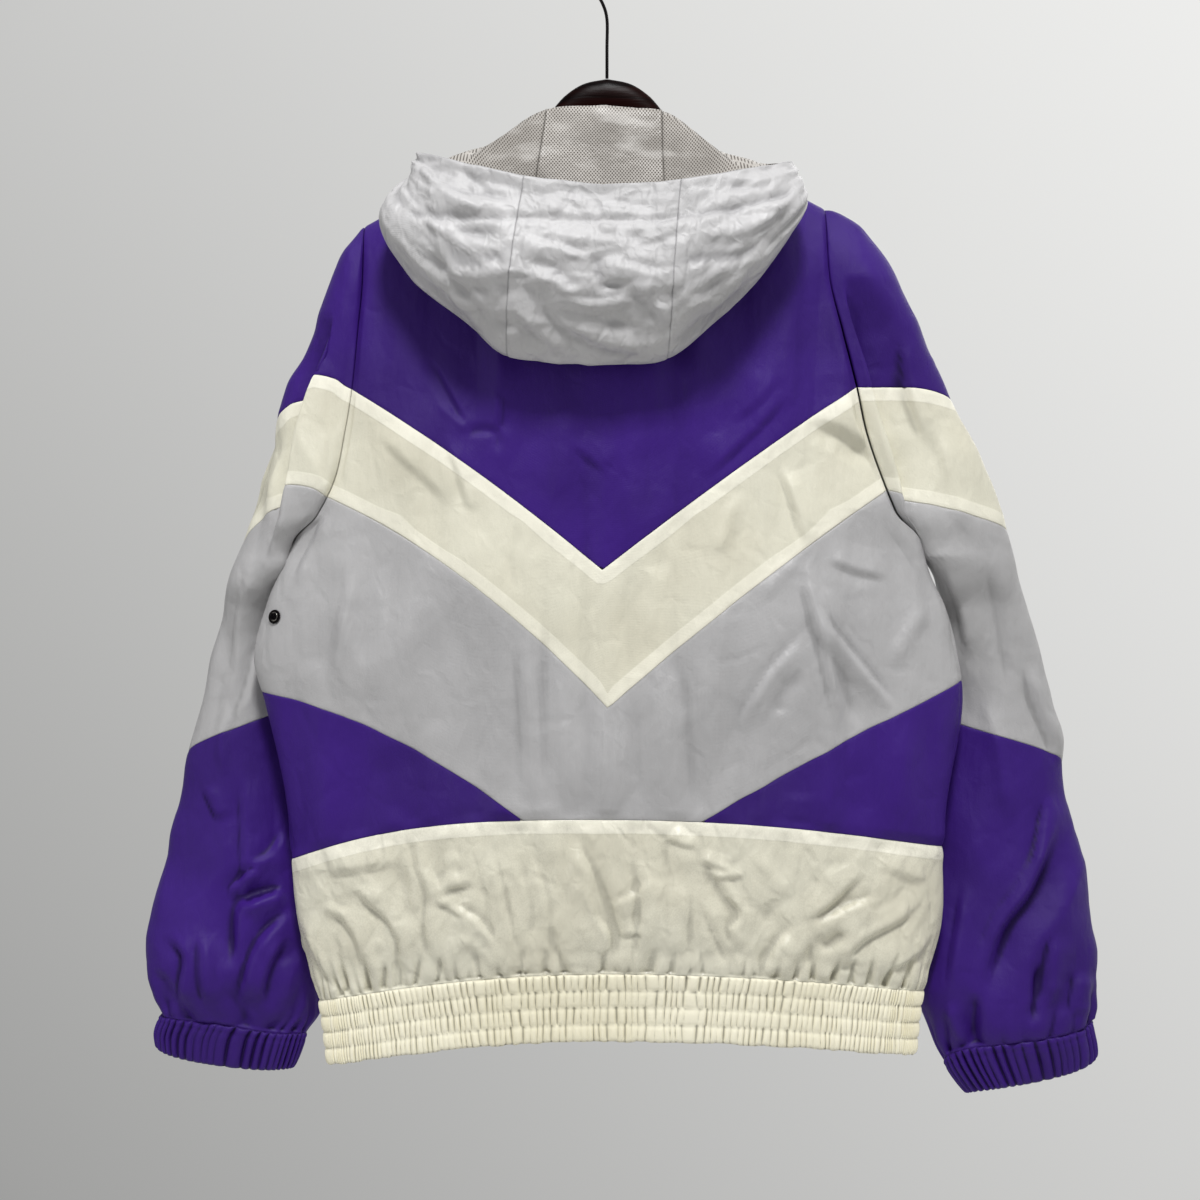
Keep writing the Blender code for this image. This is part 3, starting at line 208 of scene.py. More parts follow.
hoodPoints = ("ridge", "drape", "floor", "belly", "edge")
hoodRibs = (
    (0.00, (0.000, -0.046, 0.1600), (0.000, -0.060, 0.262), (0.000, -0.074, 0.3810),
     (0.000, -0.116, 0.315), (0.000, -0.104, 0.2425)),
    (0.18, (0.047, -0.040, 0.1610), (0.055, -0.058, 0.260), (0.064, -0.073, 0.3740),
     (0.064, -0.114, 0.307), (0.062, -0.101, 0.2360)),
    (0.30, (0.080, -0.032, 0.1790), (0.090, -0.053, 0.252), (0.103, -0.070, 0.3430),
     (0.110, -0.107, 0.284), (0.104, -0.094, 0.2265)),
    (0.38, (0.099, -0.022, 0.1890), (0.117, -0.045, 0.240), (0.141, -0.066, 0.3030),
     (0.145, -0.096, 0.262), (0.131, -0.083, 0.2185)),
    (0.46, (0.108, -0.012, 0.1920), (0.136, -0.036, 0.217), (0.168, -0.059, 0.2500),
     (0.169, -0.072, 0.234), (0.154, -0.060, 0.2090)),
    (0.54, (0.101, 0.005, 0.1860), (0.122, 0.001, 0.1940), (0.140, -0.005, 0.2020),
     (0.149, -0.009, 0.2060), (0.150, -0.012, 0.2010)),
    (0.62, (0.079, 0.028, 0.1830), (0.090, 0.034, 0.1880), (0.099, 0.038, 0.1930),
     (0.106, 0.040, 0.1960), (0.110, 0.040, 0.1935)),
    (0.72, (0.058, 0.0405, 0.1990), (0.062, 0.0455, 0.1955), (0.066, 0.0490, 0.1920),
     (0.070, 0.0510, 0.1885), (0.074, 0.051, 0.185)),
    (0.86, (0.032, 0.0470, 0.2215), (0.034, 0.0520, 0.2135), (0.036, 0.0560, 0.2055),
     (0.038, 0.0585, 0.1975), (0.040, 0.060, 0.1895)),
    (1.00, (0.0068, 0.0470, 0.2300), (0.0068, 0.0520, 0.2200), (0.0068, 0.0560, 0.2100),
     (0.0068, 0.0590, 0.2000), (0.0068, 0.061, 0.1900)),
)
# where a rib's points lie along it, with one more before and after each sharp turn
hoodSpots = np.array((0.0, 0.8, 1.0, 1.2, 2.0, 2.8, 3.0, 3.25, 4.0, 5.0))
hoodRows = {name: Profile(("turn", "x", "y", "drop"), *((rib[0], *rib[1 + i]) for rib in hoodRibs))
            for i, name in enumerate(hoodPoints)}
hoodForm = {"ridgeFold": 0.0045, "tilt": 0.022, "sag": 0.008, "seam": 0.18, "liningIn": 0.0026,
            "ridgeSink": 0.007, "leftCorner": (-0.45, 0.20),
            # one for each of the five points
            "lean": (-0.003, -0.008, -0.016, -0.012, -0.004),
            "tuckLeft": (0, 0.010, -0.004, 0.018, 0.004), "sinkLeft": (0, 0, 0.012, 0.004, 0),
            # turns between which each of these ends
            "sinkEnd": (0.44, 0.60), "leanEnd": (0.40, 0.64), "foldEnd": (0.20, 0.42),
            "sagEnd": (0.44, 0.54),
            # how near the points before and after a turn lie to it
            "rise": 0.75, "fall": 0.2, "heel": 0.2, "toe": 0.25}


class Vee:
    # a seam that runs down to a tip, each arm bowed a little upward
    def __init__(self, tip, leftArm, rightArm):
        self.tip, self.arms = tip, {left: leftArm, right: rightArm}

    def at(self, across):
        drops = {}
        for side, (tipDrop, end, endDrop, bow) in self.arms.items():
            part = (across - self.tip) / (end - self.tip)
            fall = endDrop - tipDrop
            inside = tipDrop + part * fall - 4 * bow * part * (1 - part)
            drops[side] = np.where(part > 1, endDrop + (part - 1) * (fall + 4 * bow), inside)
        return np.where(across < self.tip, drops[left], drops[right])


class Arch:
    # a seam that is highest at the centre and sinks by some power of the way to each side
    def __init__(self, centre, leftArm, rightArm):
        self.centre, self.arms = centre, {left: leftArm, right: rightArm}

    def at(self, across):
        drops = {side: self.centre + sink * np.abs(across / reach) ** power
                 for side, (reach, sink, power) in self.arms.items()}
        return np.where(across < 0, drops[left], drops[right])


class Higher:
    def __init__(self, one, other):
        self.one, self.other = one, other

    def at(self, across):
        return np.minimum(self.one.at(across), self.other.at(across))


class Neckline:
    # the neck seam, and the shoulder line beyond it
    def __init__(self, dip):
        self.dip = dip

    def at(self, across):
        half = body["neckHalf"]
        edge = roof.at("drop", np.where(across < 0, -half, half))
        inside = edge + self.dip * (1 - (across / half) ** 2)
        return np.where(np.abs(across) >= half, roof.at("drop", across), inside)


neck = {back: Neckline(body["neckDipBack"]), front: Neckline(body["neckDipFront"])}
yokeHem = Vee(-0.004, (0.545, -0.212, 0.3945, 0.006), (0.545, 0.2075, 0.3925, 0.003))
stripeHem = Vee(0.0005, (0.6585, -0.232, 0.4845, 0.018), (0.6585, 0.2345, 0.4775, 0.006))
greySideHem = Vee(0.003, (0.812, -0.287, 0.6470, 0.027), (0.798, 0.3015, 0.6380, 0.008))
skirtTop = Arch(0.750, (-0.270, 0.040, 3.0), (0.285, 0.028, 2.0))
bandTop = Arch(0.8785, (-0.2445, 0.030, 2.0), (0.2675, 0.0215, 2.0))
bandHem = Arch(0.936, (-0.237, 0.027, 2.0), (0.261, 0.0185, 2.0))
greyHem = Higher(greySideHem, skirtTop)


def bySide(across, leftValue, rightValue):
    return np.where(np.asarray(across) < 0, leftValue, rightValue)


def edgeHalf(share, drop):
    return bySide(share, torsoRows.at("left", drop), torsoRows.at("right", drop))


def armTurn(share, drop):
    arm = bySide(share, torsoRows.at("armLeft", drop), torsoRows.at("armRight", drop))
    turn = np.arcsin(np.minimum(arm / edgeHalf(share, drop), 1.0)) / (math.pi / 2)
    pit = bySide(share, underarm[left], underarm[right])
    return mix(turn, 1.0, ease(drop, pit - body["pitBlend"], pit))


def torso(face, share, drop):
    share, drop = together(share, drop)
    angle = np.abs(share) * armTurn(share, drop) * math.pi / 2
    across = sideOf(share) * edgeHalf(share, drop) * np.sin(angle)
    deep = np.where(np.asarray(face) < 0, torsoRows.at("back", drop), torsoRows.at("front", drop))
    below = np.clip((drop - roof.at("drop", across)) / body["shoulderRoll"], 0.0, 1.0)
    out = deep * np.maximum(np.cos(angle), 0.0) ** body["roundness"] * np.sqrt(1 - (1 - below) ** 2)
    return np.stack([across, face * out, -drop], -1)


def shareAt(side, across, drop):
    angle = np.arcsin(np.minimum(np.abs(across) / edgeHalf(side, drop), 1.0))
    return side * angle / (math.pi / 2) / armTurn(side, drop)


def settled(seam, drop, place):
    # the drop at which the curved wall meets a seam that is given across the jacket
    for _ in range(body["settleRounds"]):
        drop = mix(drop, seam.at(place(drop)[..., 0]), body["settlePace"])
    return drop


def seamDrop(share, seam):
    return settled(seam, seam.at(share * body["guess"]), lambda drop: torso(back, share, drop))


def sideDrop(share, seam):
    return float(seamDrop(np.array(float(share)), seam))


def frontShare(side, part, drop):
    return side * mix(np.abs(shareAt(side, body["zipHalf"], drop)), 1, part)


def frontDrop(side, part, seam):
    return settled(seam, seam.at(side * part * body["guess"]),
                   lambda drop: torso(front, frontShare(side, part, drop), drop))


def sleeve(side, around, drop):
    around, drop = together(around, drop)
    face = np.where(around < 0, back, front)
    part = 1 - np.abs(around)
    rows = sleeveRows[side]
    onArm = torso(face, np.full(drop.shape, float(side)), drop)
    free = np.stack([side * rows.at("inner", drop), rows.at("innerY", drop), -drop], -1)
    start = np.where((drop < underarm[side])[..., None], onArm, free)
    closed = ease(drop, underarm[side] - body["armBlend"], underarm[side])
    halfTurn = (1 - np.cos(math.pi * part)) / 2
    run = mix(np.sin(math.pi / 2 * part), halfTurn, closed)
    sink = mix(1 - np.cos(math.pi / 2 * part), halfTurn, closed)
    stand = np.where(around < 0, rows.at("back", drop), rows.at("front", drop))
    across = mix(start[..., 0], side * rows.at("outer", drop), run)
    deep = mix(start[..., 1], rows.at("outerY", drop), sink) + face * stand * np.sin(math.pi * part)
    pleat = pleats[side]
    wide = pleat["root"] - pleat["edge"]
    opened = np.where(around < 0, pleat["rows"].at("open", drop), 0.0)
    shift = pleat["out"] * bump(part, pleat["edge"], wide) - pleat["backIn"] * bump(part, pleat["root"], wide)
    under = ease(part, pleat["edge"], pleat["root"]) * (1 - part) / (1 - pleat["root"])
    return np.stack([across + side * opened * shift, deep + opened * pleat["deep"] * under, -drop], -1)


def sleeveSeam(side, name, around):
    drops = list(sleeveSeams[side][name])
    if drops[0] is None:
        drops[0] = sideDrop(side, yokeHem if name == "stripeTop" else stripeHem)
    part = 1 - np.abs(around)
    pleat = pleats[side]
    places = (0.0, pleat["edge"], pleat["root"] + pleat["past"], 1.0)
    behind = Profile(("part", "drop"), *zip(places, drops)).at("drop", part)
    return np.where(around > 0, mix(drops[0], drops[-1], (1 - np.cos(math.pi * part)) / 2), behind)


def capTop(side, part):
    return sideDrop(side, neck[back]) + body["capStart"] + body["capSlope"] * (1 - part)


def neckPoint(turn):
    side = sideOf(turn)
    across = side * np.maximum(body["neckHalf"] * np.sin(np.abs(turn) * math.pi),
                               np.where(np.abs(turn) > 0.5, body["zipHalf"], 0.0))
    face = np.where(np.abs(turn) < 0.5, back, front)
    drop = np.where(face == back, neck[back].at(across), neck[front].at(across))
    foot = torso(face, shareAt(side, across, drop), drop)
    foot[..., 2] += body["neckRise"]
    return foot


def ribPoint(turn, name):
    which, away = hoodPoints.index(name), np.abs(turn)
    x, y, drop = (hoodRows[name].at(axis, away) for axis in ("x", "y", "drop"))
    corner = np.where(turn < 0, bump(turn, *hoodForm["leftCorner"]), 0)
    lean = hoodForm["lean"][which] + hoodForm["tuckLeft"][which] * corner
    drop = drop + hoodForm["sinkLeft"][which] * corner
    drop = drop + (name == "ridge") * hoodForm["ridgeSink"] * (1 - ease(away, *hoodForm["sinkEnd"]))
    x = sideOf(turn) * x + lean * (1 - ease(away, *hoodForm["leanEnd"]))
    return np.stack([x, y, -drop - hoodForm["tilt"] * x], -1)


def hood(turn, along):
    turn, along = together(turn, along)
    foot = neckPoint(turn)
    ridge, drape, floor, belly, edge = (ribPoint(turn, name) for name in hoodPoints)
    folded = (1 - ease(np.abs(turn), *hoodForm["foldEnd"]))[..., None]
    sagging = (1 - ease(np.abs(turn), *hoodForm["sagEnd"]))[..., None]
    outward = unit((belly - drape) * (1, 1, 0)) * hoodForm["sag"] * sagging
    fold = hoodForm["ridgeFold"]
    rise = mix(mix(foot, ridge, hoodForm["rise"]), ridge + (0, fold, -fold), folded)
    fall = mix(mix(ridge, drape, hoodForm["fall"]), ridge - (0, fold, fold), folded)
    heel = mix(floor, drape, hoodForm["heel"]) - outward / 2
    toe = mix(floor, belly, hoodForm["toe"]) + outward
    values = np.stack([foot, rise, ridge, fall, drape, heel, floor, toe, belly, edge])
    slopes = slopesOf(hoodSpots, values)
    low, span, part = stepOf(hoodSpots, np.clip(along, 0.0, 1.0) * 5)
    span, part = span[..., None], part[..., None]

    def pick(stack, index):
        return np.take_along_axis(stack, index[None, ..., None], 0)[0]

    first, step = pick(values, low), pick(values, low + 1) - pick(values, low)
    return curve(first, step, part, pick(slopes, low) * span - step, pick(slopes, low + 1) * span - step)


# heights on the cloth: folds, ripples, gathers and shirring

viewpoint = {"place": (-0.00595, -1.4167, -0.5695), "cell": 0.00085, "middle": 600, "frontShift": 1214}
foldForm = {"steep": 0.8, "gentle": 1.8, "long": 3.2, "slope": 2.6, "roundness": 1.6, "reach": 6,
            "lipOut": 1.1, "lipWide": 1.3, "lipDeep": 0.55, "lipRound": 0.1}
latticeSize = 64
netSlant = 0.366     # slants a square net so that its triangles come out even
# how pleats vary: a length in pleats and a strength
pleatForm = {"tilt": (3.1, 0.3), "drift": (2.6, 0.55), "rowShift": (1.6, 0.22), "depth": (1.3, 0.38),
             "meanDepth": 0.62, "roundness": 0.55}
gatherForm = {"gap": (0.45, 1.6), "tall": (0.3, 1.25), "lean": (-0.4, 0.4), "deep": (0.35, 1.2),
              "wide": (0.7, 1.5), "spread": (0.7, 1.1), "fade": 1.4, "seam": (-0.0008, 0.0022)}


def layout(point):
    # cells of 0.85 mm as the jacket is seen from straight behind: columns from the left, rows from the top
    x, y, z = viewpoint["place"]
    cell = (point[..., 1] - y) / -y * viewpoint["cell"]
    return viewpoint["middle"] + (point[..., 0] - x) / cell, viewpoint["middle"] - (point[..., 2] - z) / cell


def fold(height, width, *points, lip=0.0, crisp=False, ends=0.3, rooted=False):
    # a ridge, or a trough where the height is negative, in mm and cells; the lip is its steep side's hollow
    return {"height": height, "width": width, "lip": lip, "crisp": crisp, "ends": ends, "rooted": rooted,
            "rows": Profile(("i", "u", "v"), *((i, *p) for i, p in enumerate(points)))}


def foldHeight(u, v, folds):
    total = np.zeros(u.shape)
    for one in folds:
        count = len(one["rows"].keys)
        steps = np.linspace(0, count - 1, 3 * count + 1)
        line = np.stack([one["rows"].at(axis, steps) for axis in ("u", "v")], -1)
        reach = one["width"] * foldForm["reach"]
        low, high = line.min(0) - reach, line.max(0) + reach
        near = (u > low[0]) & (u < high[0]) & (v > low[1]) & (v < high[1])
        if not near.any():
            continue
        pu, pv = u[near], v[near]
        best, place, hand = np.full(pu.shape, np.inf), np.zeros(pu.shape), np.zeros(pu.shape)
        run = np.concatenate([[0], np.cumsum(np.linalg.norm(np.diff(line, axis=0), axis=1))])
        for (au, av), (bu, bv), start, end in zip(line[:-1], line[1:], run[:-1], run[1:]):
            du, dv = (bu - au) / (end - start), (bv - av) / (end - start)
            on = np.clip((pu - au) * du + (pv - av) * dv, 0, end - start)
            offU, offV = pu - au - on * du, pv - av - on * dv
            away = np.hypot(offU, offV)
            closer = away < best
            best = np.where(closer, away, best)
            place = np.where(closer, (start + on) / run[-1], place)
            hand = np.where(closer, np.sign(du * offV - dv * offU), hand)
        width, lip, off = one["width"], one["lip"], best * hand
        if lip or one["crisp"]:
            # a long flat flank on one side, a short steep one and a hollow on the other
            steepSide = off * np.sign(lip) > 0
            flat = foldForm["long" if lip else "gentle"]
            flank = width * np.where(steepSide, foldForm["steep"], flat)
            flank = np.maximum(flank, foldForm["slope"] * abs(one["height"]))
            crest = foldForm["roundness"]
            lobe = np.clip(1 - (np.hypot(best, crest) - crest) / flank, 0, 1)
            aside = (off - np.sign(lip) * width * foldForm["lipOut"]) / (width * foldForm["lipWide"])
            bowl = np.clip(1 + foldForm["lipRound"] - np.hypot(aside, foldForm["lipRound"]), 0, 1)
            shape = lobe - foldForm["lipDeep"] * abs(lip) * bowl
        else:
            shape = np.exp(-(best / width) ** 2)
        toEnd = place if one["rooted"] else np.minimum(place, 1 - place)
        total[near] += one["height"] * shape * ease(toEnd, 0.0, one["ends"])
    return total


def seededLattice(seed):
    # periodic heights between -1 and 1
    size = (latticeSize, latticeSize)
    return np.pad(np.random.default_rng(seed).uniform(-1, 1, size), (0, 1), mode="wrap")


def latticePlace(u, v):
    i, j = np.floor(u).astype(int), np.floor(v).astype(int)
    return i % latticeSize, j % latticeSize, u - i, v - j


def ripples(u, v, seed):
    # smooth seeded heights between about -1 and 1, a lattice cell for each unit
    lattice = seededLattice(seed)
    i, j, pu, pv = latticePlace(u + 500.37, v + 500.81)
    pu, pv = ease(pu, 0, 1), ease(pv, 0, 1)
    above = mix(lattice[i, j], lattice[i + 1, j], pu)
    return mix(above, mix(lattice[i, j + 1], lattice[i + 1, j + 1], pu), pv)


def facets(u, v, seed):
    # flat facets with sharp creases, between seeded heights on a warped net of triangles
    heights = seededLattice(seed)
    bendU = u + 0.5 * ripples(u * 0.5, v * 0.5, seed + 1)
    bendV = v + 0.5 * ripples(u * 0.5, v * 0.5, seed + 2)
    slant = (bendU + bendV) * netSlant
    i, j, pa, pb = latticePlace(bendU + slant + 500.2, bendV + slant + 500.6)
    middle = np.where(pa > pb, heights[i + 1, j], heights[i, j + 1])
    low, high = np.minimum(pa, pb), np.maximum(pa, pb)
    return heights[i, j] * (1 - high) + middle * (high - low) + heights[i + 1, j + 1] * low


def uneven(kind, u, v, *layers, side=0):
    # ripples or facets added up, each by its lattice cell's columns and rows, its seed and its height
    return sum(kind(u / across, v / down, seed + side) * high for across, down, seed, high in layers)


def gathers(u, rise, seed, span, pitch, reach, depth, width):
    # troughs that fan up from a gathered seam, all lengths in metres
    chance = np.random.default_rng(seed)
    total = np.zeros(u.shape)
    near = rise < reach * gatherForm["tall"][1]
    pu, pr = u[near], np.maximum(rise[near], 0.0)
    some = np.zeros(pu.shape)
    spot = -span
    foot, growth = gatherForm["spread"]

    def draw(name):
        return chance.uniform(*gatherForm[name])

    while spot < span:
        spot += pitch * draw("gap")
        tall, lean = reach * draw("tall"), draw("lean")
        deep, wide = depth * draw("deep"), width * draw("wide")
        away = (pu - spot - lean * pr) / (wide * (foot + growth * pr / tall))
        some -= deep * np.exp(-away ** 2) * np.clip(1 - pr / tall, 0, 1) ** gatherForm["fade"]
    total[near] = some * ease(pr, *gatherForm["seam"])
    return total


def pleating(u, v, seed, pitch):
    # narrow upright pleats, 0 in their sharp troughs and 1 on their round backs
    row, spot = np.floor(v + 1e-6), u / pitch

    def vary(name, down, offset):
        length, strength = pleatForm[name]
        return strength * ripples(spot / length, down, seed + offset)

    tilt = (v - row - 0.5) * vary("tilt", row * 5.3 + 0.5, 4)
    count = spot + vary("drift", 0 * v, 0) + tilt + vary("rowShift", row * 3.7, 5)
    deep = pleatForm["meanDepth"] + vary("depth", row * 2.3 + v * 0.4, 9)
    return 1 - deep * (1 - np.abs(np.sin(math.pi * count)) ** pleatForm["roundness"])


# cloth pieces

seamRoll = 0.0014     # how far from a seam the cloth rolls in


def smoothed(grid, axis, half):
    # box mean along one axis of a grid, its edges carried on
    wide = np.pad(grid, [(half + 1, half) if i == axis else (0, 0) for i in range(2)], mode="edge")
    total = np.cumsum(wide, axis)
    ahead = np.arange(grid.shape[axis])
    return (np.take(total, ahead + 2 * half + 1, axis) - np.take(total, ahead, axis)) / (2 * half + 1)


def hollows(out, columns, rows, spacing, reach=0.0035):
    # how far each spot lies below the mean of its neighbours
    grid = out.reshape(rows + 1, columns + 1)
    mean = grid
    for axis, gap in ((1, spacing[0]), (0, spacing[1]), (1, spacing[0]), (0, spacing[1])):
        mean = smoothed(mean, axis, max(1, round(reach / gap / 1.5)))
    return np.clip(mean - grid, 0, None).ravel()


def onSheet(surface, cut, outside, s, r, step=0.0015):
    # places, outward normals and the lengths of one step across and one step down
    def place(s, r):
        return surface(*cut(s, r))

    a, b = cut(s, r)
    point = surface(a, b)
    overA = surface(a + step, b) - surface(a - step, b)
    overB = surface(a, b + step) - surface(a, b - step)
    normal = outside * unit(np.cross(overA, overB))
    s0, s1, r0, r1 = (np.clip(x, 0, 1) for x in (s - step, s + step, r - step, r + step))
    alongS = (place(s1, r) - place(s0, r)) / (s1 - s0)[..., None]
    alongR = (place(s, r1) - place(s, r0)) / (r1 - r0)[..., None]
    return a, b, point, normal, alongS, alongR


def placed(name, data):
    thing = bpy.data.objects.new(name, data)
    bpy.context.scene.collection.objects.link(thing)
    return thing


def makeSheet(name, surface, cut, outside, height, spacing, lift=0.0, dip=0.0004, crowd=0.45):
    # a fine grid of bmesh, moved to the hanging form, with its folds and its rolled seam edges
    sample = np.meshgrid(np.linspace(0.02, 0.98, 12), np.linspace(0.02, 0.98, 12))
    rough = onSheet(surface, cut, outside, *sample)
    wide, tall = (float(np.linalg.norm(v, axis=-1).mean()) for v in rough[4:])
    columns, rows = (max(2, round(size / gap)) for size, gap in zip((wide, tall), spacing))
    bm = bmesh.new()
    bmesh.ops.create_grid(bm, x_segments=columns, y_segments=rows, size=0.5)
    mesh = bpy.data.meshes.new(name)
    bm.to_mesh(mesh)
    bm.free()
    flat = np.empty(len(mesh.vertices) * 3)
    mesh.vertices.foreach_get("co", flat)
    flat = flat.reshape(-1, 3)
    s, r = flat[:, 0] + 0.5, flat[:, 1] + 0.5
    s = np.clip(s - crowd / math.tau * np.sin(math.tau * s), 0, 1)
    r = np.clip(r - crowd / math.tau * np.sin(math.tau * r), 0, 1)
    a, b, point, normal, alongS, alongR = onSheet(surface, cut, outside, s, r)
    area = np.linalg.norm(np.cross(alongS, alongR), axis=-1)
    lengthS, lengthR = (np.maximum(np.linalg.norm(v, axis=-1), 1e-6) for v in (alongS, alongR))
    top, hem = r * area / lengthS, (1 - r) * area / lengthS
    first, last = s * area / lengthR, (1 - s) * area / lengthR
    seam = np.minimum(np.minimum(top, hem), np.minimum(first, last))
    out = lift + height(a, b, point, s, r) - dip * np.exp(-(seam / seamRoll) ** 2)
    point = point + normal * out[:, None]
    mesh.vertices.foreach_set("co", point.ravel())
    # how deep each spot lies in a hollow; the materials paint shade there
    deep = hollows(out, columns, rows, spacing)
    for label, values in (("top", top), ("hem", hem), ("seam", seam), ("deep", deep)):
        mesh.attributes.new(label, "FLOAT", "POINT").data.foreach_set("value", values.astype(np.float32))
    loops = np.empty(len(mesh.loops), int)
    mesh.loops.foreach_get("vertex_index", loops)
    uv = np.stack([s[loops] * wide, r[loops] * tall], -1)
    mesh.uv_layers.new(name="cloth").data.foreach_set("uv", uv.ravel())
    mesh.update()
    face = mesh.polygons[len(mesh.polygons) // 2]
    if face.normal.dot(Vector(normal[face.vertices[0]])) < 0:
        mesh.flip_normals()
    mesh.shade_smooth()
    return placed(name, mesh)


def finished(piece, material, node):
    piece.data.materials.append(material)
    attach(piece, "jacket")
    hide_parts(node)
    return piece


def dress(piece, material, node, slot, sheet, cloth=0.0008, rim=True, held="hung", restsOn=("hanger_wood",)):
    # edge turned in, material and body
    shell = piece.modifiers.new("thickness", "SOLIDIFY")
    shell.thickness, shell.offset, shell.use_rim_only = cloth, -1, rim
    finished(piece, material, node)


# materials

def tone(code):
    parts = [int(code[i:i + 2], 16) / 255 for i in (1, 3, 5)]
    return (*(c / 12.92 if c < 0.04045 else ((c + 0.055) / 1.055) ** 2.4 for c in parts), 1.0)


class Wire:
    # a number's socket, with its maths written as expressions
    def __init__(self, shade, socket):
        self.shade, self.socket = shade, socket

    def maths(self, operation, *others):
        values = {i: other for i, other in enumerate((self, *others))}
        return Wire(self.shade, self.shade.add("Math", {"operation": operation}, values).outputs[0])

    def __add__(self, other):
        return self.maths("ADD", other)

    def __mul__(self, other):
        return self.maths("MULTIPLY", other)

    def __sub__(self, other):
        return self.maths("SUBTRACT", other)

    def __rsub__(self, other):
        return (self * -1.0) + other

    __radd__, __rmul__ = __add__, __mul__


class Nodes:
    # the nodes of a material or of the world
    def __init__(self, owner):
        owner.use_nodes = True
        self.tree = owner.node_tree

    def add(self, kind, settings=None, values=None):
        node = self.tree.nodes.new("ShaderNode" + kind)
        for label, value in (settings or {}).items():
            if label == "stops":
                ramp = node.color_ramp.elements
                while len(ramp) < len(value):
                    ramp.new(0.5)
                for element, (place, colour) in zip(ramp, value):
                    element.position, element.color = place, colour
            else:
                setattr(node, label, value)
        for label, value in (values or {}).items():
            self.join(value, node.inputs[label])
        return node

    def join(self, value, socket):
        if isinstance(value, Wire):
            value = value.socket
        if isinstance(value, bpy.types.NodeSocket):
            self.tree.links.new(value, socket)
        else:
            socket.default_value = value


class Shade(Nodes):
    # one material, with the values that are the same all over its surface
    def __init__(self, name, **fixed):
        self.material = bpy.data.materials.new(name)
        super().__init__(self.material)
        self.surface = self.tree.nodes["Principled BSDF"]
        for label, value in fixed.items():
            self.surface.inputs[label].default_value = value

    def attribute(self, name):
        return Wire(self, self.add("Attribute", {"attribute_name": name}).outputs["Fac"])

    def place(self, scale=(1, 1, 1), onCloth=False):
        source = self.add("TexCoord").outputs["UV" if onCloth else "Object"]
        return self.add("Mapping", None, {"Vector": source, "Scale": scale}).outputs[0]

    def noise(self, scale, detail=2.0, vector=None, rough=0.5, warp=0.0):
        values = {"Vector": vector or self.place(), "Scale": scale, "Detail": detail, "Roughness": rough,
                  "Distortion": warp}
        return Wire(self, self.add("TexNoise", None, values).outputs[0])

    def between(self, value, low, high, start=0.0, end=1.0):
        values = {"Value": value, 1: low, 2: high, 3: start, 4: end}
        node = self.add("MapRange", {"interpolation_type": "SMOOTHSTEP"}, values)
        return Wire(self, node.outputs[0])

    def blend(self, factor, a, b, kind="MIX"):
        node = self.add("Mix", {"data_type": "RGBA", "blend_type": kind}, {0: factor, 6: a, 7: b})
        return node.outputs[2]

    def darkenSeamsAndShadeHollows(self, atSeams, shadeInHollows=0.0):
        # darker along the stitched edges, and painted shade at the bottom of the folds
        seamAndHollowShade = self.between(self.attribute("seam"), 0.0002, 0.0012, atSeams, 0.0)
        if shadeInHollows:
            seamAndHollowShade = seamAndHollowShade + self.between(self.attribute("deep"), 0.0001, 0.0014, 0.0, shadeInHollows)
        return seamAndHollowShade

    def bumps(self, *layers):
        normal = None
        for height, distance in layers:
            values = {"Height": height, "Distance": distance, "Strength": 1.0}
            if normal:
                values["Normal"] = normal
            normal = self.add("Bump", None, values).outputs["Normal"]
        self.join(normal, self.surface.inputs["Normal"])

    def finish(self, colour, roughness=None):
        self.join(colour, self.surface.inputs["Base Color"])
        if roughness is not None:
            self.join(roughness, self.surface.inputs["Roughness"])
        return self.material


def creases(shade, size, reach=0.16):
    # thin straight creases between flat facets, by the cell size in metres
    spot = Wire(shade, shade.place((1 / size, 1 / size, 0.6 / size)))
    values = {0: shade.noise(0.7 / size, 2.0), 1: (0.9, 0.9, 0.9), 2: spot}
    moved = shade.add("VectorMath", {"operation": "MULTIPLY_ADD"}, values).outputs[0]
    cells = shade.add("TexVoronoi", {"feature": "DISTANCE_TO_EDGE"}, {"Vector": moved, "Scale": 1.0})
    return shade.between(cells.outputs["Distance"], 0.0, reach)


def weave(shade, pitch):
    # over-and-under threads of a plain weave, on the cloth's own metres
    parts = shade.add("SeparateXYZ", None, {0: shade.place(onCloth=True)}).outputs
    across, down = ((Wire(shade, part) * (math.tau / pitch)).maths("SINE") for part in parts[:2])
    return across * down


allowance = {"width": (0.0105, 0.0118), "ledge": 0.0002, "pitch": 0.0011, "seams": 0.12}


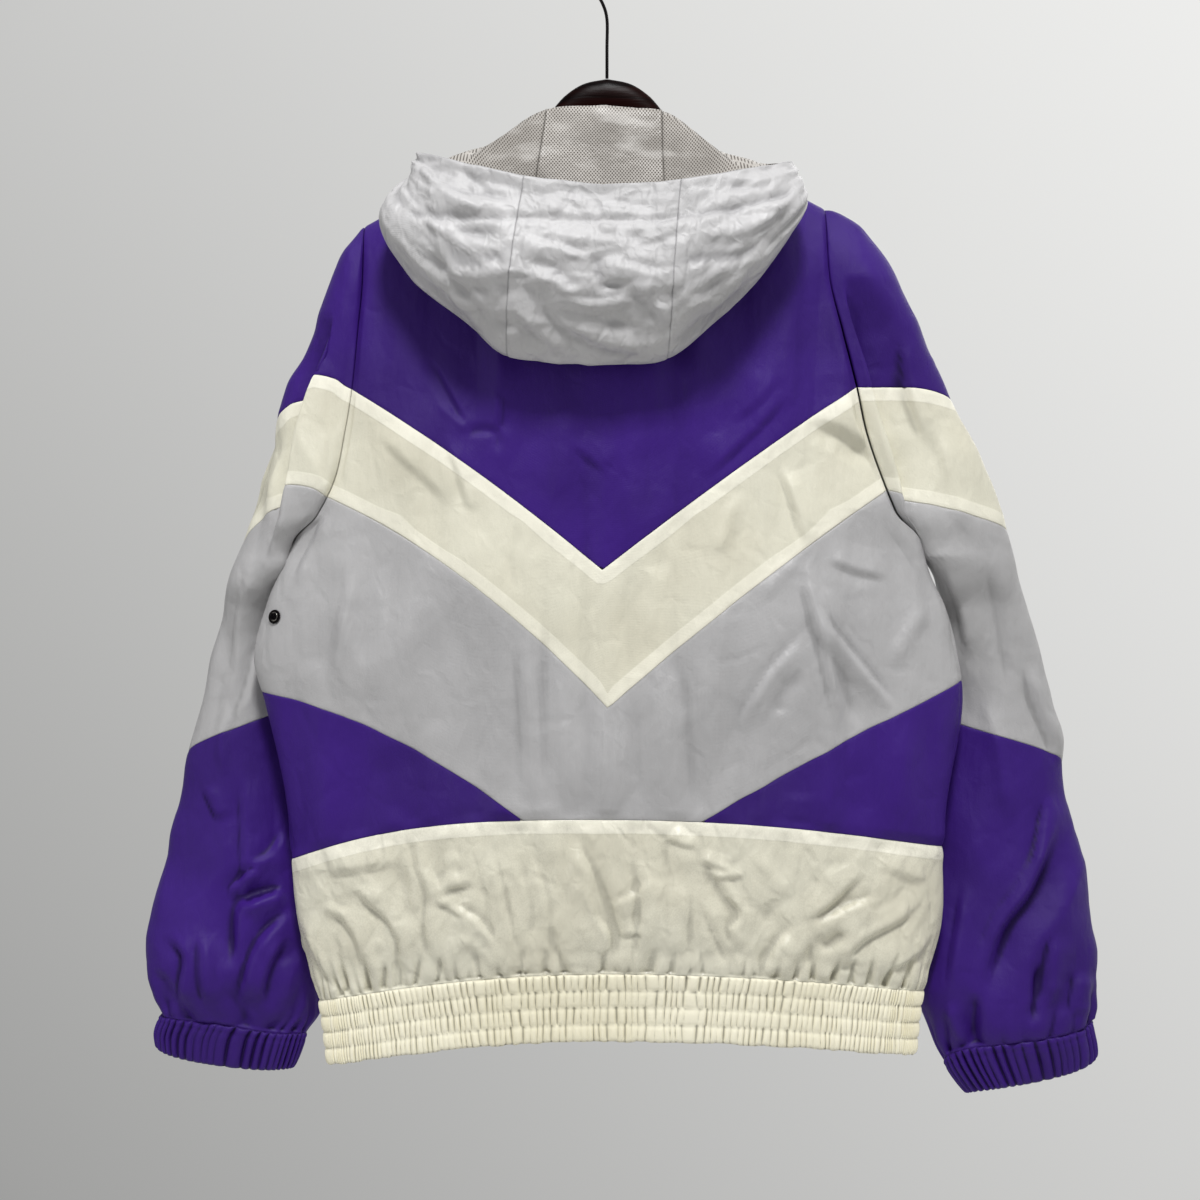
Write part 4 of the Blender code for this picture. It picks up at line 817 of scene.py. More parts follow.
def shellCloth(name, colour, shaded, strip, stripMix, rough, wrinkle, grain=0.05, hemStrip=0.7, specular=0.4,
               foldShade=0.25, crease=0.0):
    # fine plain-woven nylon: pressed seam allowances show through as paler strips
    shade = Shade(name, **{"Specular IOR Level": specular})
    threads = weave(shade, allowance["pitch"])
    cloudy = shade.noise(9.0, 3.0)
    fine = shade.noise(620.0, 2.0)
    streak = shade.noise(1.0, 3.0, shade.place((260, 900, 16)))
    base = shade.blend(shade.between(cloudy, 0.35, 0.68), tone(colour), tone(shaded))
    low, high = allowance["width"]
    atTop, atHem = (shade.between(shade.attribute(edge), low, high, 1.0, 0.0) for edge in ("top", "hem"))
    doubled = atTop + atHem * hemStrip
    base = shade.blend((doubled * stripMix).maths("MINIMUM", 1.0), base, tone(strip))
    # darker along the seams, and painted shade in the hollows of the folds, multiplied into the colour
    seamAndHollowShade = shade.darkenSeamsAndShadeHollows(allowance["seams"], foldShade)
    base = shade.blend(seamAndHollowShade.maths("MINIMUM", 0.7), base, (0.0, 0.0, 0.0, 1.0), "MULTIPLY")
    speckle = (fine - 0.5) * grain + (streak - 0.5) * grain + 1.0
    scale = shade.add("CombineXYZ", None, {0: speckle, 1: speckle, 2: speckle}).outputs[0]
    base = shade.blend(1.0, base, scale, "MULTIPLY")
    roughness = (cloudy - 0.5) * 0.18 + (fine - 0.5) * 0.1 + rough
    if crease:
        crumples = ((creases(shade, 0.030, 0.22), crease), (creases(shade, 0.013, 0.3), crease * 0.35))
    else:
        crumples = ((shade.noise(34.0, 4.0, rough=0.55, warp=0.6), wrinkle * 0.4),)
    long = shade.noise(1.0, 3.0, shade.place((55, 55, 11)))
    ledge = doubled.maths("MINIMUM", 1.0) * stripMix
    shade.bumps(*crumples, (long, wrinkle * 0.6), (ledge, allowance["ledge"]), (threads, 0.00005),
                (fine, 0.00012))
    return shade.finish(base, roughness)


def hoodCloth():
    # thinner, shinier nylon that keeps every crumple
    shade = Shade("hoodGrey", **{"Specular IOR Level": 0.42})
    threads = weave(shade, allowance["pitch"])
    cloudy = shade.noise(14.0, 3.0)
    fine = shade.noise(700.0, 2.0)
    base = shade.blend(shade.between(cloudy, 0.3, 0.7), tone("#c4c3c4"), tone("#b9b8b9"))
    # darker along the seams, and painted shade in the hollows of the crumples
    base = shade.blend(shade.darkenSeamsAndShadeHollows(0.25, 0.3).maths("MINIMUM", 0.8), base, tone("#77767a"))
    small = shade.noise(60.0, 5.0, rough=0.6, warp=1.2)
    crinkle = shade.noise(26.0, 4.0, rough=0.5, warp=2.0)
    shade.bumps((creases(shade, 0.024, 0.25), 0.0010), (creases(shade, 0.010, 0.3), 0.00035), (small, 0.0001),
                (crinkle, 0.0003), (threads, 0.00005), (fine, 0.0001))
    return shade.finish(base, (cloudy - 0.5) * 0.2 + (fine - 0.5) * 0.1 + 0.40)


holes = {"across": 0.0027, "down": 0.0029}


def netCloth():
    # knitted net with staggered round holes
    shade = Shade("liningNet", **{"Specular IOR Level": 0.5, "Sheen Weight": 0.1})
    parts = shade.add("SeparateXYZ", None, {0: shade.place()}).outputs
    x, y, z = (Wire(shade, part) for part in parts)
    across = (x * (math.tau / holes["across"])).maths("COSINE")
    down = ((z - y * 0.6) * (math.tau / holes["down"])).maths("COSINE")
    hole = shade.between(across * down, 0.10, 0.42)
    cloudy = shade.noise(22.0, 3.0)
    yarn = shade.blend(shade.between(cloudy, 0.35, 0.65), tone("#b3aea8"), tone("#a39e98"))
    base = shade.blend(hole, yarn, tone("#5d5751"))
    sheen = shade.noise(1.0, 2.0, shade.place((22, 22, 60)))
    base = shade.blend(shade.between(sheen, 0.50, 0.70, 0.0, 0.4), base, tone("#e2dfdb"))
    base = shade.blend(shade.darkenSeamsAndShadeHollows(0.25), base, tone("#6d6761"))
    shade.bumps((shade.noise(40.0, 4.0, warp=0.8), 0.0012), (hole * -1.0, 0.0004))
    return shade.finish(base, hole * 0.3 + 0.42)


def plainFinish(name, colour, dark, rough, **fixed):
    # simple hard or tape finish with a little grain
    shade = Shade(name, **fixed)
    grain = shade.noise(300.0, 4.0)
    cloudy = shade.noise(25.0, 3.0)
    base = shade.blend(shade.between(cloudy, 0.3, 0.7), tone(colour), tone(dark))
    shade.bumps((grain, 0.00008))
    return shade.finish(base, (grain - 0.5) * 0.12 + rough)


def darkWood():
    # lacquered mahogany, nearly black, with long pores along the bar
    shade = Shade("mahogany", **{"Specular IOR Level": 0.05})
    rings = shade.noise(1.0, 5.0, shade.place((6, 60, 90)), warp=0.8)
    pores = shade.noise(1.0, 2.0, shade.place((30, 900, 900)))
    base = shade.blend(shade.between(rings, 0.35, 0.7), tone("#050101"), tone("#1a0403"))
    base = shade.blend(shade.between(pores, 0.6, 0.75, 0.0, 0.6), base, tone("#070101"))
    shade.bumps((rings, 0.0003), (pores, 0.0001))
    return shade.finish(base, (rings - 0.5) * 0.2 + 0.32)


# the purple and the ivory band paint more shade into their fold hollows
purple = shellCloth("purpleNylon", "#3a1c78", "#34196c", "#3a1c78", 0.0, 0.46, 0.0016, specular=0.16,
                    foldShade=0.6, crease=0.0003)
cream = shellCloth("creamNylon", "#dedbc9", "#d6d2bf", "#f3f0e0", 0.85, 0.40, 0.0016, grain=0.06,
                   crease=0.0004)
skirtCream = shellCloth("skirtCream", "#e0ddcb", "#d6d2bf", "#f3f0e0", 0.8, 0.27, 0.0018, grain=0.06,
                        hemStrip=0.0, specular=0.5, crease=0.0009)
grey = shellCloth("greyNylon", "#b3b2b3", "#a8a7a8", "#bab9ba", 0.12, 0.33, 0.0016, grain=0.06,
                  crease=0.0004)
ivory = shellCloth("bandIvory", "#fbf6df", "#f4eed4", "#fbf6df", 0.0, 0.42, 0.0004, grain=0.04, foldShade=0.45)
hoodGrey, net, mahogany = hoodCloth(), netCloth(), darkWood()
gunmetal = plainFinish("gunmetal", "#2b292a", "#1d1b1c", 0.26, **{"Metallic": 1.0})
paleMetal = plainFinish("paleRing", "#8d8a86", "#6c6965", 0.22, **{"Metallic": 1.0})
zipCloth = plainFinish("zipTape", "#a9a7a9", "#9b999b", 0.8, **{"Sheen Weight": 0.2})
zipNylon = plainFinish("zipNylon", "#b3b1b2", "#a3a1a2", 0.4)
print("materials ready")


# folds, in cells of the layout


def crease(*shape, **options):
    return fold(*shape, crisp=True, **options)


def upright(column, top, bottom, height, width, lean=0):
    places = (column - lean, top), (column, (top + bottom) / 2), (column + lean, bottom)
    return fold(height, width * 1.7, *places, ends=0.35)


# the torso

girth = 0.27      # half the girth that a share of 1 stands for
torsoPiece = {"relief": 0.0020, "spacing": (0.0018, 0.0018), "frontSpacing": (0.0040, 0.0040),
              "frontFolds": 0.7, "frontShift": 20, "ripples": ((22, 150, 3, 1.5), (60, 70, 8, 1.0)),
              "facets": ((50, 96, 14, 1.1), (24, 52, 17, 0.2)),
              "flatSide": 0.012, "flatShoulder": 0.03, "flatZip": 0.014, "flatSeam": (-0.002, 0.010)}
torsoFolds = [
    # yoke
    crease(-1.6, 3.5, (425, 353), (446, 392), (468, 432), lip=-0.6),
    crease(-1.3, 3.5, (462, 434), (478, 430), (495, 433), (497, 455)),
    fold(1.0, 5, (438, 401), (456, 420), (473, 433)),
    fold(-1.2, 4, (498, 388), (503, 404), (497, 436), lip=0.5),
    fold(1.0, 6, (572, 442), (590, 455), (610, 471), lip=0.5),
    fold(1.2, 8, (700, 478), (738, 443), (764, 417), (786, 388), lip=0.6),
    fold(0.9, 9, (730, 420), (760, 395), (775, 370), lip=0.5), upright(392, 300, 400, 0.9, 11, -6),
    upright(560, 400, 510, 0.8, 11), upright(640, 390, 500, -0.7, 12), upright(690, 385, 470, 0.7, 10, 5),
    upright(820, 250, 380, -0.9, 12, 3), upright(340, 310, 390, -1.0, 9, -6),
    # cream stripe
    fold(-1.5, 6, (352, 386), (346, 430), (336, 482), lip=-0.8),
    fold(1.4, 6, (450, 440), (462, 478), (474, 516), lip=0.6),
    fold(1.2, 9, (376, 428), (410, 460), (454, 502), lip=0.4),
    fold(-0.9, 7, (520, 520), (512, 560), (520, 600)), fold(0.9, 8, (640, 548), (652, 590), (650, 650)),
    crease(2.0, 4.5, (783, 464), (796, 505), (808, 548), lip=0.7),
    fold(1.2, 9, (742, 490), (728, 520), (716, 560)), fold(-1.0, 10, (690, 510), (668, 540), (654, 580)),
    fold(2.4, 11, (812, 412), (848, 430), (884, 456), lip=0.9),
    fold(-2.6, 6, (866, 400), (871, 430), (880, 466)),
    fold(1.4, 6, (846, 392), (852, 420), (868, 450), lip=-0.6),
    # grey panel, left
    fold(-2.0, 13, (348, 556), (334, 620), (318, 690), lip=-0.4),
    fold(1.5, 8, (332, 508), (312, 552), (298, 592), lip=0.5),
    fold(-1.2, 5, (318, 500), (306, 540), (290, 570), lip=0.4),
    fold(1.2, 12, (376, 560), (372, 640), (356, 712)), upright(396, 590, 745, 1.3, 10),
    upright(428, 600, 770, -0.9, 8), upright(452, 620, 785, 0.9, 9),
    # grey panel, middle
    upright(518, 610, 812, -1.4, 5, 4), upright(530, 640, 818, 0.9, 4, 3), upright(543, 620, 818, -1.8, 6, 2),
    upright(566, 650, 818, 1.5, 7, 2), upright(592, 690, 818, -0.8, 6), upright(616, 700, 818, 1.0, 8),
    upright(640, 690, 818, -0.7, 6), upright(660, 660, 818, 1.2, 8), upright(688, 640, 815, -1.6, 6, 4),
    upright(706, 640, 810, 1.2, 6, 4), upright(728, 620, 800, -0.9, 8, 2),
    # grey panel, right
    crease(2.8, 4.5, (805, 552), (809, 592), (828, 668), (842, 736), lip=0.8),
    crease(2.6, 4.5, (811, 596), (828, 628), (851, 656), (898, 716), lip=-0.8),
    fold(1.8, 6, (808, 632), (788, 656), (768, 680), (738, 730), lip=0.6),
    fold(-1.6, 7, (822, 640), (846, 690), (862, 730)),
    fold(1.6, 9, (880, 508), (914, 553), (938, 599), (946, 650), lip=0.4),
    fold(1.4, 7, (826, 556), (856, 568), (892, 576), lip=0.6),
    fold(1.0, 8, (760, 600), (776, 580), (800, 560)), fold(1.2, 9, (930, 600), (905, 640), (890, 670)),
    fold(-1.0, 8, (772, 720), (790, 690), (806, 670)),
    # purple side panels
    upright(330, 735, 850, 1.0, 9, -4), upright(384, 745, 828, -1.0, 8, 3), upright(412, 760, 822, 0.9, 8, 4),
    upright(296, 700, 850, 1.0, 8, -4), upright(905, 715, 845, 1.2, 10, 4), upright(858, 750, 830, -1.0, 9),
    upright(930, 700, 850, -1.0, 8, 4), upright(800, 790, 826, 0.8, 9),
]

skirtPiece = {"relief": 0.0016, "spacing": (0.0012, 0.0014), "frontFolds": 0.8, "frontShift": 14,
              "deepFacets": (26, 52, 21, 1.5), "fineFacets": (12, 24, 23, 0.4), "tucked": (-0.0008, 0.0022),
              "flatFacets": 0.02, "flatFolds": 0.006,
              "gathers": (31, 0.56, 0.011, 0.070, 0.0034, 0.0032), "puff": (0.0012, 0.008, 0.012)}
skirtFolds = [
    fold(2.2, 5, (414, 826), (422, 868), (431, 896), (429, 934), (437, 974), lip=0.8),
    crease(2.2, 4, (488, 842), (494, 872), (507, 930), (515, 962), lip=-0.7),
    fold(-1.6, 7, (528, 840), (548, 896), (552, 962), lip=0.5),
    fold(2.2, 8, (562, 826), (586, 872), (606, 930), (602, 974), lip=-0.8),
    fold(2.0, 7, (330, 904), (358, 938), (371, 990), lip=0.8),
    fold(1.8, 6, (302, 914), (320, 958), (346, 992), lip=0.7),
    fold(2.0, 6, (356, 890), (392, 922), (407, 962), lip=0.6),
    crease(2.0, 4, (431, 900), (448, 904), (468, 916), lip=0.7),
    crease(1.8, 4, (432, 899), (446, 888), (478, 880), lip=0.6),
    fold(2.0, 5, (442, 906), (474, 920), (494, 948), lip=-0.7),
    crease(1.4, 4, (320, 904), (336, 912), (352, 914)), crease(1.4, 4, (358, 890), (384, 900)),
    fold(1.4, 6, (455, 935), (480, 950), (498, 972)),
    fold(1.6, 7, (380, 930), (372, 956), (384, 984), lip=0.6),
    fold(-2.4, 5, (586, 868), (600, 914), (613, 938), (604, 972), lip=0.8),
    fold(2.2, 6, (640, 852), (645, 904), (640, 972), lip=0.8),
    fold(1.8, 8, (684, 874), (682, 921), (678, 966), lip=-0.6),
    fold(-2.0, 6, (698, 858), (724, 898), (737, 916), (728, 932), (746, 964), lip=-0.9),
    crease(2.0, 3.5, (698, 858), (722, 866), (732, 870), lip=0.6),
    crease(1.8, 3.5, (710, 874), (728, 876), (746, 872), lip=0.6),
    fold(1.8, 6, (704, 895), (718, 930), (736, 968), lip=0.7),
    fold(2.2, 6, (790, 934), (774, 958), (767, 980), lip=0.9),
    fold(2.6, 7, (790, 932), (826, 905), (864, 866), lip=0.8),
    fold(2.2, 6, (792, 936), (822, 922), (884, 896), lip=-0.8),
    fold(2.4, 7, (832, 966), (858, 940), (898, 918), (922, 894), lip=0.8),
    fold(2.2, 6, (872, 984), (888, 967), (918, 950), (934, 926), lip=0.7),
    fold(-2.6, 7, (818, 950), (832, 944), (846, 928)),
    fold(2.0, 6, (818, 984), (842, 962), (864, 958), lip=0.8),
    fold(1.4, 5, (664, 835), (682, 842), (700, 846), lip=0.6),
    fold(1.6, 5, (655, 878), (634, 896), (612, 908), lip=0.6),
    fold(1.4, 4, (618, 935), (630, 933), (644, 931), lip=0.5),
    fold(1.8, 10, (750, 850), (772, 880), (790, 900)), fold(-1.8, 10, (760, 905), (778, 925), (792, 940)),
    fold(1.6, 9, (880, 860), (905, 872), (930, 880), lip=0.5),
    fold(2.0, 10, (316, 870), (350, 866), (398, 858), lip=0.5),
    fold(1.6, 8, (460, 850), (452, 870), (458, 890)), fold(-1.6, 8, (398, 860), (404, 890), (412, 930)),
    fold(-1.4, 8, (520, 850), (532, 900), (528, 950)),
]

# the short deep creases that rise from the hem band: column, top, bottom and lean
tuckPlaces = (
    (345, 962, 992, -6), (367, 955, 990, -4), (383, 968, 988, 2), (399, 972, 986, 0), (415, 958, 984, 5),
    (437, 955, 982, 4), (457, 962, 980, -3), (480, 958, 978, -4), (500, 966, 976, -2), (520, 955, 974, 3),
    (527, 960, 974, 2), (547, 962, 974, -4), (564, 950, 974, -6), (600, 928, 974, 7), (628, 955, 974, 3),
    (650, 960, 975, 4), (668, 952, 976, 7), (690, 962, 977, 2), (705, 948, 978, -5), (741, 950, 980, 8),
    (755, 962, 981, -3), (775, 956, 982, 6), (795, 964, 984, 3), (812, 958, 985, 5), (832, 960, 986, 9),
    (850, 966, 988, 4), (868, 962, 989, 6), (886, 968, 990, 5), (905, 962, 992, 9),
)
bandTucks = [fold(-3.2, 2.6, (column + 1.5 * lean, rise - 14), (column, 984), (column, bottom), ends=1.0,
                  rooted=True) for column, rise, bottom, lean in tuckPlaces]


def torsoFade(lap, point):
    # flat at the armholes, sides, shoulders, neck, zip and skirt seam, where other pieces are sewn on
    side = np.abs(1 - np.abs(lap)) * girth
    below = -point[..., 2] - roof.at("drop", point[..., 0])
    zipSide = np.where(np.abs(lap) > 1, (2 - np.abs(lap)) * girth, 1.0)
    skirtSeam = np.abs(point[..., 2] + skirtTop.at(point[..., 0]))
    fade = ease(side, 0.0, torsoPiece["flatSide"]) * ease(below, 0.0, torsoPiece["flatShoulder"])
    return fade * ease(zipSide, 0.0, torsoPiece["flatZip"]) * ease(skirtSeam, *torsoPiece["flatSeam"])


def aroundTorso(lap, point, piece):
    # the front takes the back's folds, mirrored, shifted and a little flatter
    u, v = layout(point)
    behind = np.abs(lap) <= 1
    u = np.where(behind, u, viewpoint["frontShift"] - u + piece["frontShift"])
    return u, v, np.where(behind, 1.0, piece["frontFolds"])


def torsoHeight(lap, point):
    u, v, flatter = aroundTorso(lap, point, torsoPiece)
    out = foldHeight(u, v, torsoFolds) * flatter
    out += uneven(ripples, u, v, *torsoPiece["ripples"])
    out += uneven(facets, u, v, *torsoPiece["facets"])
    return out * torsoPiece["relief"] * torsoFade(lap, point)


def skirtHeight(lap, point):
    u, v = layout(point)
    turned, v, flatter = aroundTorso(lap, point, skirtPiece)
    rise = bandTop.at(point[..., 0]) + point[..., 2]
    out = foldHeight(turned, v, skirtFolds) * flatter
    deep, fine = (uneven(facets, u, v, skirtPiece[name]) for name in ("deepFacets", "fineFacets"))
    out += deep * ease(rise, 0.0, skirtPiece["flatFacets"]) + fine
    tucks = foldHeight(turned, v, bandTucks) * ease(rise, *skirtPiece["tucked"])
    high, middle, reach = skirtPiece["puff"]
    full = gathers(lap * girth, rise, *skirtPiece["gathers"]) + high * bump(rise, middle, reach)
    out = out * ease(rise, 0.0, skirtPiece["flatFolds"]) + tucks
    fade = torsoFade(lap, point)
    return out * skirtPiece["relief"] * fade + full * fade


tipSearch = {"from": 0.6, "step": 0.002, "height": 0.002}


def tipOf(dropAt):
    # how far along the skirt's top the pointed side panel begins
    part = tipSearch["from"]
    while dropAt(skirtTop, part) - dropAt(greySideHem, part) > tipSearch["height"]:
        part -= tipSearch["step"]
    return part


def panels(face):
    return {"Yoke": (purple, "purple_shell", neck[face], yokeHem),
            "Stripe": (cream, "cream_shell", yokeHem, stripeHem),
            "Chevron": (grey, "grey_shell", stripeHem, greyHem),
            "Side": (purple, "purple_shell", greySideHem, skirtTop),
            "Skirt": (skirtCream, "cream_shell", skirtTop, bandTop)}


def backPanel(word, first, last, sheet):
    material, slot, top, hem = panels(back)[word.split("_")[0]]
    height, piece = (skirtHeight, skirtPiece) if word == "Skirt" else (torsoHeight, torsoPiece)

    def cut(s, r):
        share = mix(first, last, s)
        return share, mix(seamDrop(share, top), seamDrop(share, hem), r)

    def over(a, b, point, s, r):
        return height(a, point)

    cloth = makeSheet("back" + word, lambda share, drop: torso(back, share, drop), cut, -1, over,
                      piece["spacing"])
    dress(cloth, material, "back_" + word.lower(), slot, sheet)


def frontPanel(word, hand, side, first, sheet):
    material, slot, top, hem = panels(front)[word]
    height = skirtHeight if word == "Skirt" else torsoHeight

    def cut(s, r):
        part = mix(first, 1.0, s)
        drop = mix(frontDrop(side, part, top), frontDrop(side, part, hem), r)
        return frontShare(side, part, drop), drop

    def over(a, b, point, s, r):
        return height(side * (2 - mix(first, 1.0, s)), point)

    cloth = makeSheet(f"front{word}_{hand}", lambda share, drop: torso(front, share, drop), cut, 1, over,
                      torsoPiece["frontSpacing"])
    dress(cloth, material, f"front_{word.lower()}_{hand}", slot, sheet)


sides = ((left, "left"), (right, "right"))
sideSheet = (0.26, 0.17, 0.0172)
backSheets = {"Yoke": (0.47, 0.38, 0.112), "Stripe": (0.53, 0.27, 0.047), "Chevron": (0.62, 0.34, 0.093),
              "Skirt": (0.60, 0.16, 0.076)}
frontSheets = {"Yoke": (0.25, 0.36, 0.052), "Stripe": (0.27, 0.26, 0.0225), "Chevron": (0.32, 0.34, 0.0457),
               "Side": sideSheet, "Skirt": (0.30, 0.16, 0.037)}
for word, sheet in backSheets.items():
    backPanel(word, -1, 1, sheet)
for side, hand in sides:
    tip = side * tipOf(lambda seam, part: sideDrop(side * part, seam))
    backPanel("Side_" + hand, *sorted((tip, side)), sideSheet)
print("back sewn")

for side, hand in sides:
    tip = tipOf(lambda seam, part: float(frontDrop(side, np.array(part), seam)))
    for word, sheet in frontSheets.items():
        frontPanel(word, hand, side, tip if word == "Side" else 0.0, sheet)
print("fronts sewn")


# the hem band

bandPiece = {"spacing": (0.00056, 0.0020), "rows": 4, "pitch": 0.0043, "pleats": 0.0048, "puff": 0.0009,
             "ragged": 0.0007, "wave": 0.0006, "waveLength": 0.05, "flatZip": 0.006, "flatTop": 0.04}


def bandHeight(lap, r):
    # shirred rows between stitch lines
    row = r * bandPiece["rows"]
    inRow = row - np.floor(np.clip(row, 0, bandPiece["rows"] - 0.001))
    puff = np.abs(np.sin(math.pi * np.clip(inRow, 0, 1))) ** 0.45
    u = lap * girth
    tufts = (pleating(u, row, 41, bandPiece["pitch"]) - 0.75) * bandPiece["pleats"] * (0.5 + 0.5 * puff)
    slow = ripples(u / bandPiece["waveLength"], r * 1.2, 44) * bandPiece["wave"]
    ends = ease((2 - np.abs(lap)) * girth, 0.0, bandPiece["flatZip"])
    return (tufts + (puff - 0.7) * bandPiece["puff"] + slow) * ends * ease(r, 0.0, bandPiece["flatTop"])


def bandSurface(lap, drop):
    lap, drop = together(lap, drop)
    side = sideOf(lap)
    inFront = np.abs(lap) > 1
    share = np.where(inFront, frontShare(side, 2 - np.abs(lap), drop), lap)
    return torso(np.where(inFront, front, back), share, drop)


def bandCut(s, r):
    lap = mix(-2.0, 2.0, s)
    side = sideOf(lap)
    ends = []
    for seam in (bandTop, bandHem):
        guess = seam.at(side * (2 - np.abs(lap)) * body["guess"])
        inFront = settled(seam, guess, lambda drop: bandSurface(lap, drop))
        ends.append(np.where(np.abs(lap) > 1, inFront, seamDrop(lap, seam)))
    ragged = bandPiece["ragged"] * ripples(lap * 60, lap * 0, 47) * ease(r, 0.8, 1.0)
    return lap, mix(ends[0], ends[1], r) + ragged


band = makeSheet("hemBand", bandSurface, bandCut, -1, lambda a, b, point, s, r: bandHeight(a, r),
                 bandPiece["spacing"], crowd=0.0)
dress(band, ivory, "hem_band", "hem_elastic", (1.45, 0.062, 0.0885), cloth=0.0012, held="gathered")
print("band shirred")


# the sleeves

sleevePiece = {"relief": 0.0026, "spacing": (0.0024, 0.0024), "lowerSpacing": (0.0017, 0.0020), "girth": 0.17,
               "ripples": (24, 70, 51, 0.7), "facets": ((46, 80, 55, 1.2), (24, 40, 65, 0.3)),
               "gathers": (0.18, 0.013, 0.085, 0.0052, 0.0052), "puff": (0.0012, 0.012, 0.016),
               "frontShift": (9, 14), "flatArmhole": 0.012, "flatCap": 0.03, "flatCuff": 0.003}
cuffPiece = {"spacing": (0.0008, 0.0016), "pitch": 0.0074, "pleats": 0.0075, "puff": 0.0014,
             "stitch": (0.16, 0.05, 0.0006), "flatSide": 0.005, "flatTop": 0.07}
sleeveFolds = {
    left: [
        fold(1.8, 9, (300, 352), (270, 410), (262, 470), lip=0.5),
        fold(-1.5, 7, (288, 420), (262, 480), (254, 530)),
        fold(1.4, 7, (252, 560), (240, 620), (236, 690), lip=0.5),
        fold(-1.4, 8, (226, 600), (222, 680), (214, 740)),
        fold(1.6, 6, (262, 640), (250, 690), (236, 724), lip=0.6),
        fold(1.2, 5, (230, 700), (222, 740), (226, 780)),
        fold(1.8, 8, (246, 770), (247, 850), (246, 886), (236, 916), lip=0.6),
        crease(1.4, 4, (206, 785), (212, 800), (222, 822), lip=0.5),
        fold(-3.2, 9, (284, 884), (250, 892), (233, 906), (230, 936), (234, 976), lip=-0.4),
        fold(2.4, 7, (288, 890), (262, 902), (240, 912), lip=0.8),
        fold(2.2, 8, (300, 906), (262, 944), (247, 986), (243, 1014), lip=0.9),
        fold(-2.2, 6, (292, 935), (272, 972), (264, 1012), lip=0.5),
        fold(2.2, 8, (170, 930), (188, 956), (184, 986), (182, 1012), lip=0.8),
        fold(-1.8, 6, (158, 968), (166, 1000), (172, 1016)),
        fold(1.8, 7, (206, 930), (206, 970), (210, 1010), lip=0.7),
        fold(1.6, 9, (180, 800), (168, 870), (160, 930)),
        fold(1.4, 6, (288, 830), (270, 856), (246, 868), lip=0.5),
        crease(1.8, 5, (262, 868), (236, 886), (232, 900), lip=0.6),
    ],
    right: [
        fold(1.6, 8, (905, 330), (912, 390), (930, 450), lip=0.5),
        fold(1.4, 8, (940, 420), (952, 480), (968, 540)),
        fold(1.6, 6, (944, 560), (962, 610), (970, 660), lip=0.6),
        fold(-1.4, 7, (986, 560), (1000, 640), (1010, 700)),
        fold(2.4, 5, (1028, 660), (1036, 700), (1050, 735), (1062, 768), lip=0.8),
        fold(1.4, 8, (985, 690), (1000, 760), (1010, 830)),
        fold(-3.4, 9, (1070, 806), (1052, 856), (1036, 894), (1010, 930), (992, 976),
             (986, 1016), lip=0.9, ends=0.4),
        fold(1.4, 14, (1086, 830), (1072, 872), (1058, 914), (1038, 950), (1022, 990), ends=0.5),
        fold(1.6, 7, (1052, 790), (1040, 850), (1030, 880), lip=0.6),
        fold(2.0, 7, (1058, 930), (1052, 960), (1050, 1010), lip=0.8),
        fold(-2.0, 5, (1040, 960), (1036, 1000), (1030, 1028)),
        fold(1.8, 6, (1082, 970), (1076, 1000), (1074, 1018), lip=0.8),
        fold(1.6, 7, (948, 1000), (960, 1040), (962, 1056)),
        fold(-1.8, 6, (976, 990), (974, 1020), (970, 1052)),
        fold(1.8, 8, (968, 880), (958, 950), (952, 1000), lip=0.5),
    ],
}


def sleeveHeight(side, around, point):
    u, v = layout(point)
    part = 1 - np.abs(around)
    behind, (across, down) = around < 0, sleevePiece["frontShift"]
    out = foldHeight(np.where(behind, u, u + across), v + np.where(behind, 0, down), sleeveFolds[side])
    out += uneven(ripples, u, v, sleevePiece["ripples"], side=side)
    out += uneven(facets, u, v, *sleevePiece["facets"], side=side)
    drop = -point[..., 2]
    rise = sleeveSeam(side, "cuffTop", around) - drop
    full = gathers(around * sleevePiece["girth"], rise, 61 + side, *sleevePiece["gathers"])
    high, middle, reach = sleevePiece["puff"]
    fade = ease(part * sleevePiece["girth"], 0.0, sleevePiece["flatArmhole"])
    fade = fade * ease(drop - capTop(side, part), 0.0, sleevePiece["flatCap"])
    out = out * sleevePiece["relief"] * ease(rise, 0.0, sleevePiece["flatCuff"])
    return (out + full + high * bump(rise, middle, reach)) * fade


def cuffHeight(side, around, r):
    tufts = pleating(around * sleevePiece["girth"], r * 0.99, 71 + side, cuffPiece["pitch"])
    puff = np.sin(math.pi * np.clip(r, 0, 1)) ** 0.4
    at, wide, deep = cuffPiece["stitch"]
    ends = ease((1 - np.abs(around)) * sleevePiece["girth"], 0.0, cuffPiece["flatSide"])
    out = (tufts - 0.7) * cuffPiece["pleats"] * (0.6 + 0.4 * puff) + (puff - 0.6) * cuffPiece["puff"]
    return (out - deep * np.exp(-((r - at) / wide) ** 2)) * ends * ease(r, 0.0, cuffPiece["flatTop"])


def sleevePanel(word, hand, side, material, slot, top, hem, sheet, spacing, height, crowd=0.45, **options):
    def cut(s, r):
        around = 2 * s - 1
        upper = sleeveSeam(side, top, around) if top else capTop(side, 1 - np.abs(around))
        return around, mix(upper, sleeveSeam(side, hem, around), r)

    cloth = makeSheet(f"sleeve{word}_{hand}", lambda around, drop: sleeve(side, around, drop), cut, -side,
                      height, spacing, crowd=crowd)
    dress(cloth, material, f"sleeve_{hand}_{word.lower()}", slot, sheet, **options)


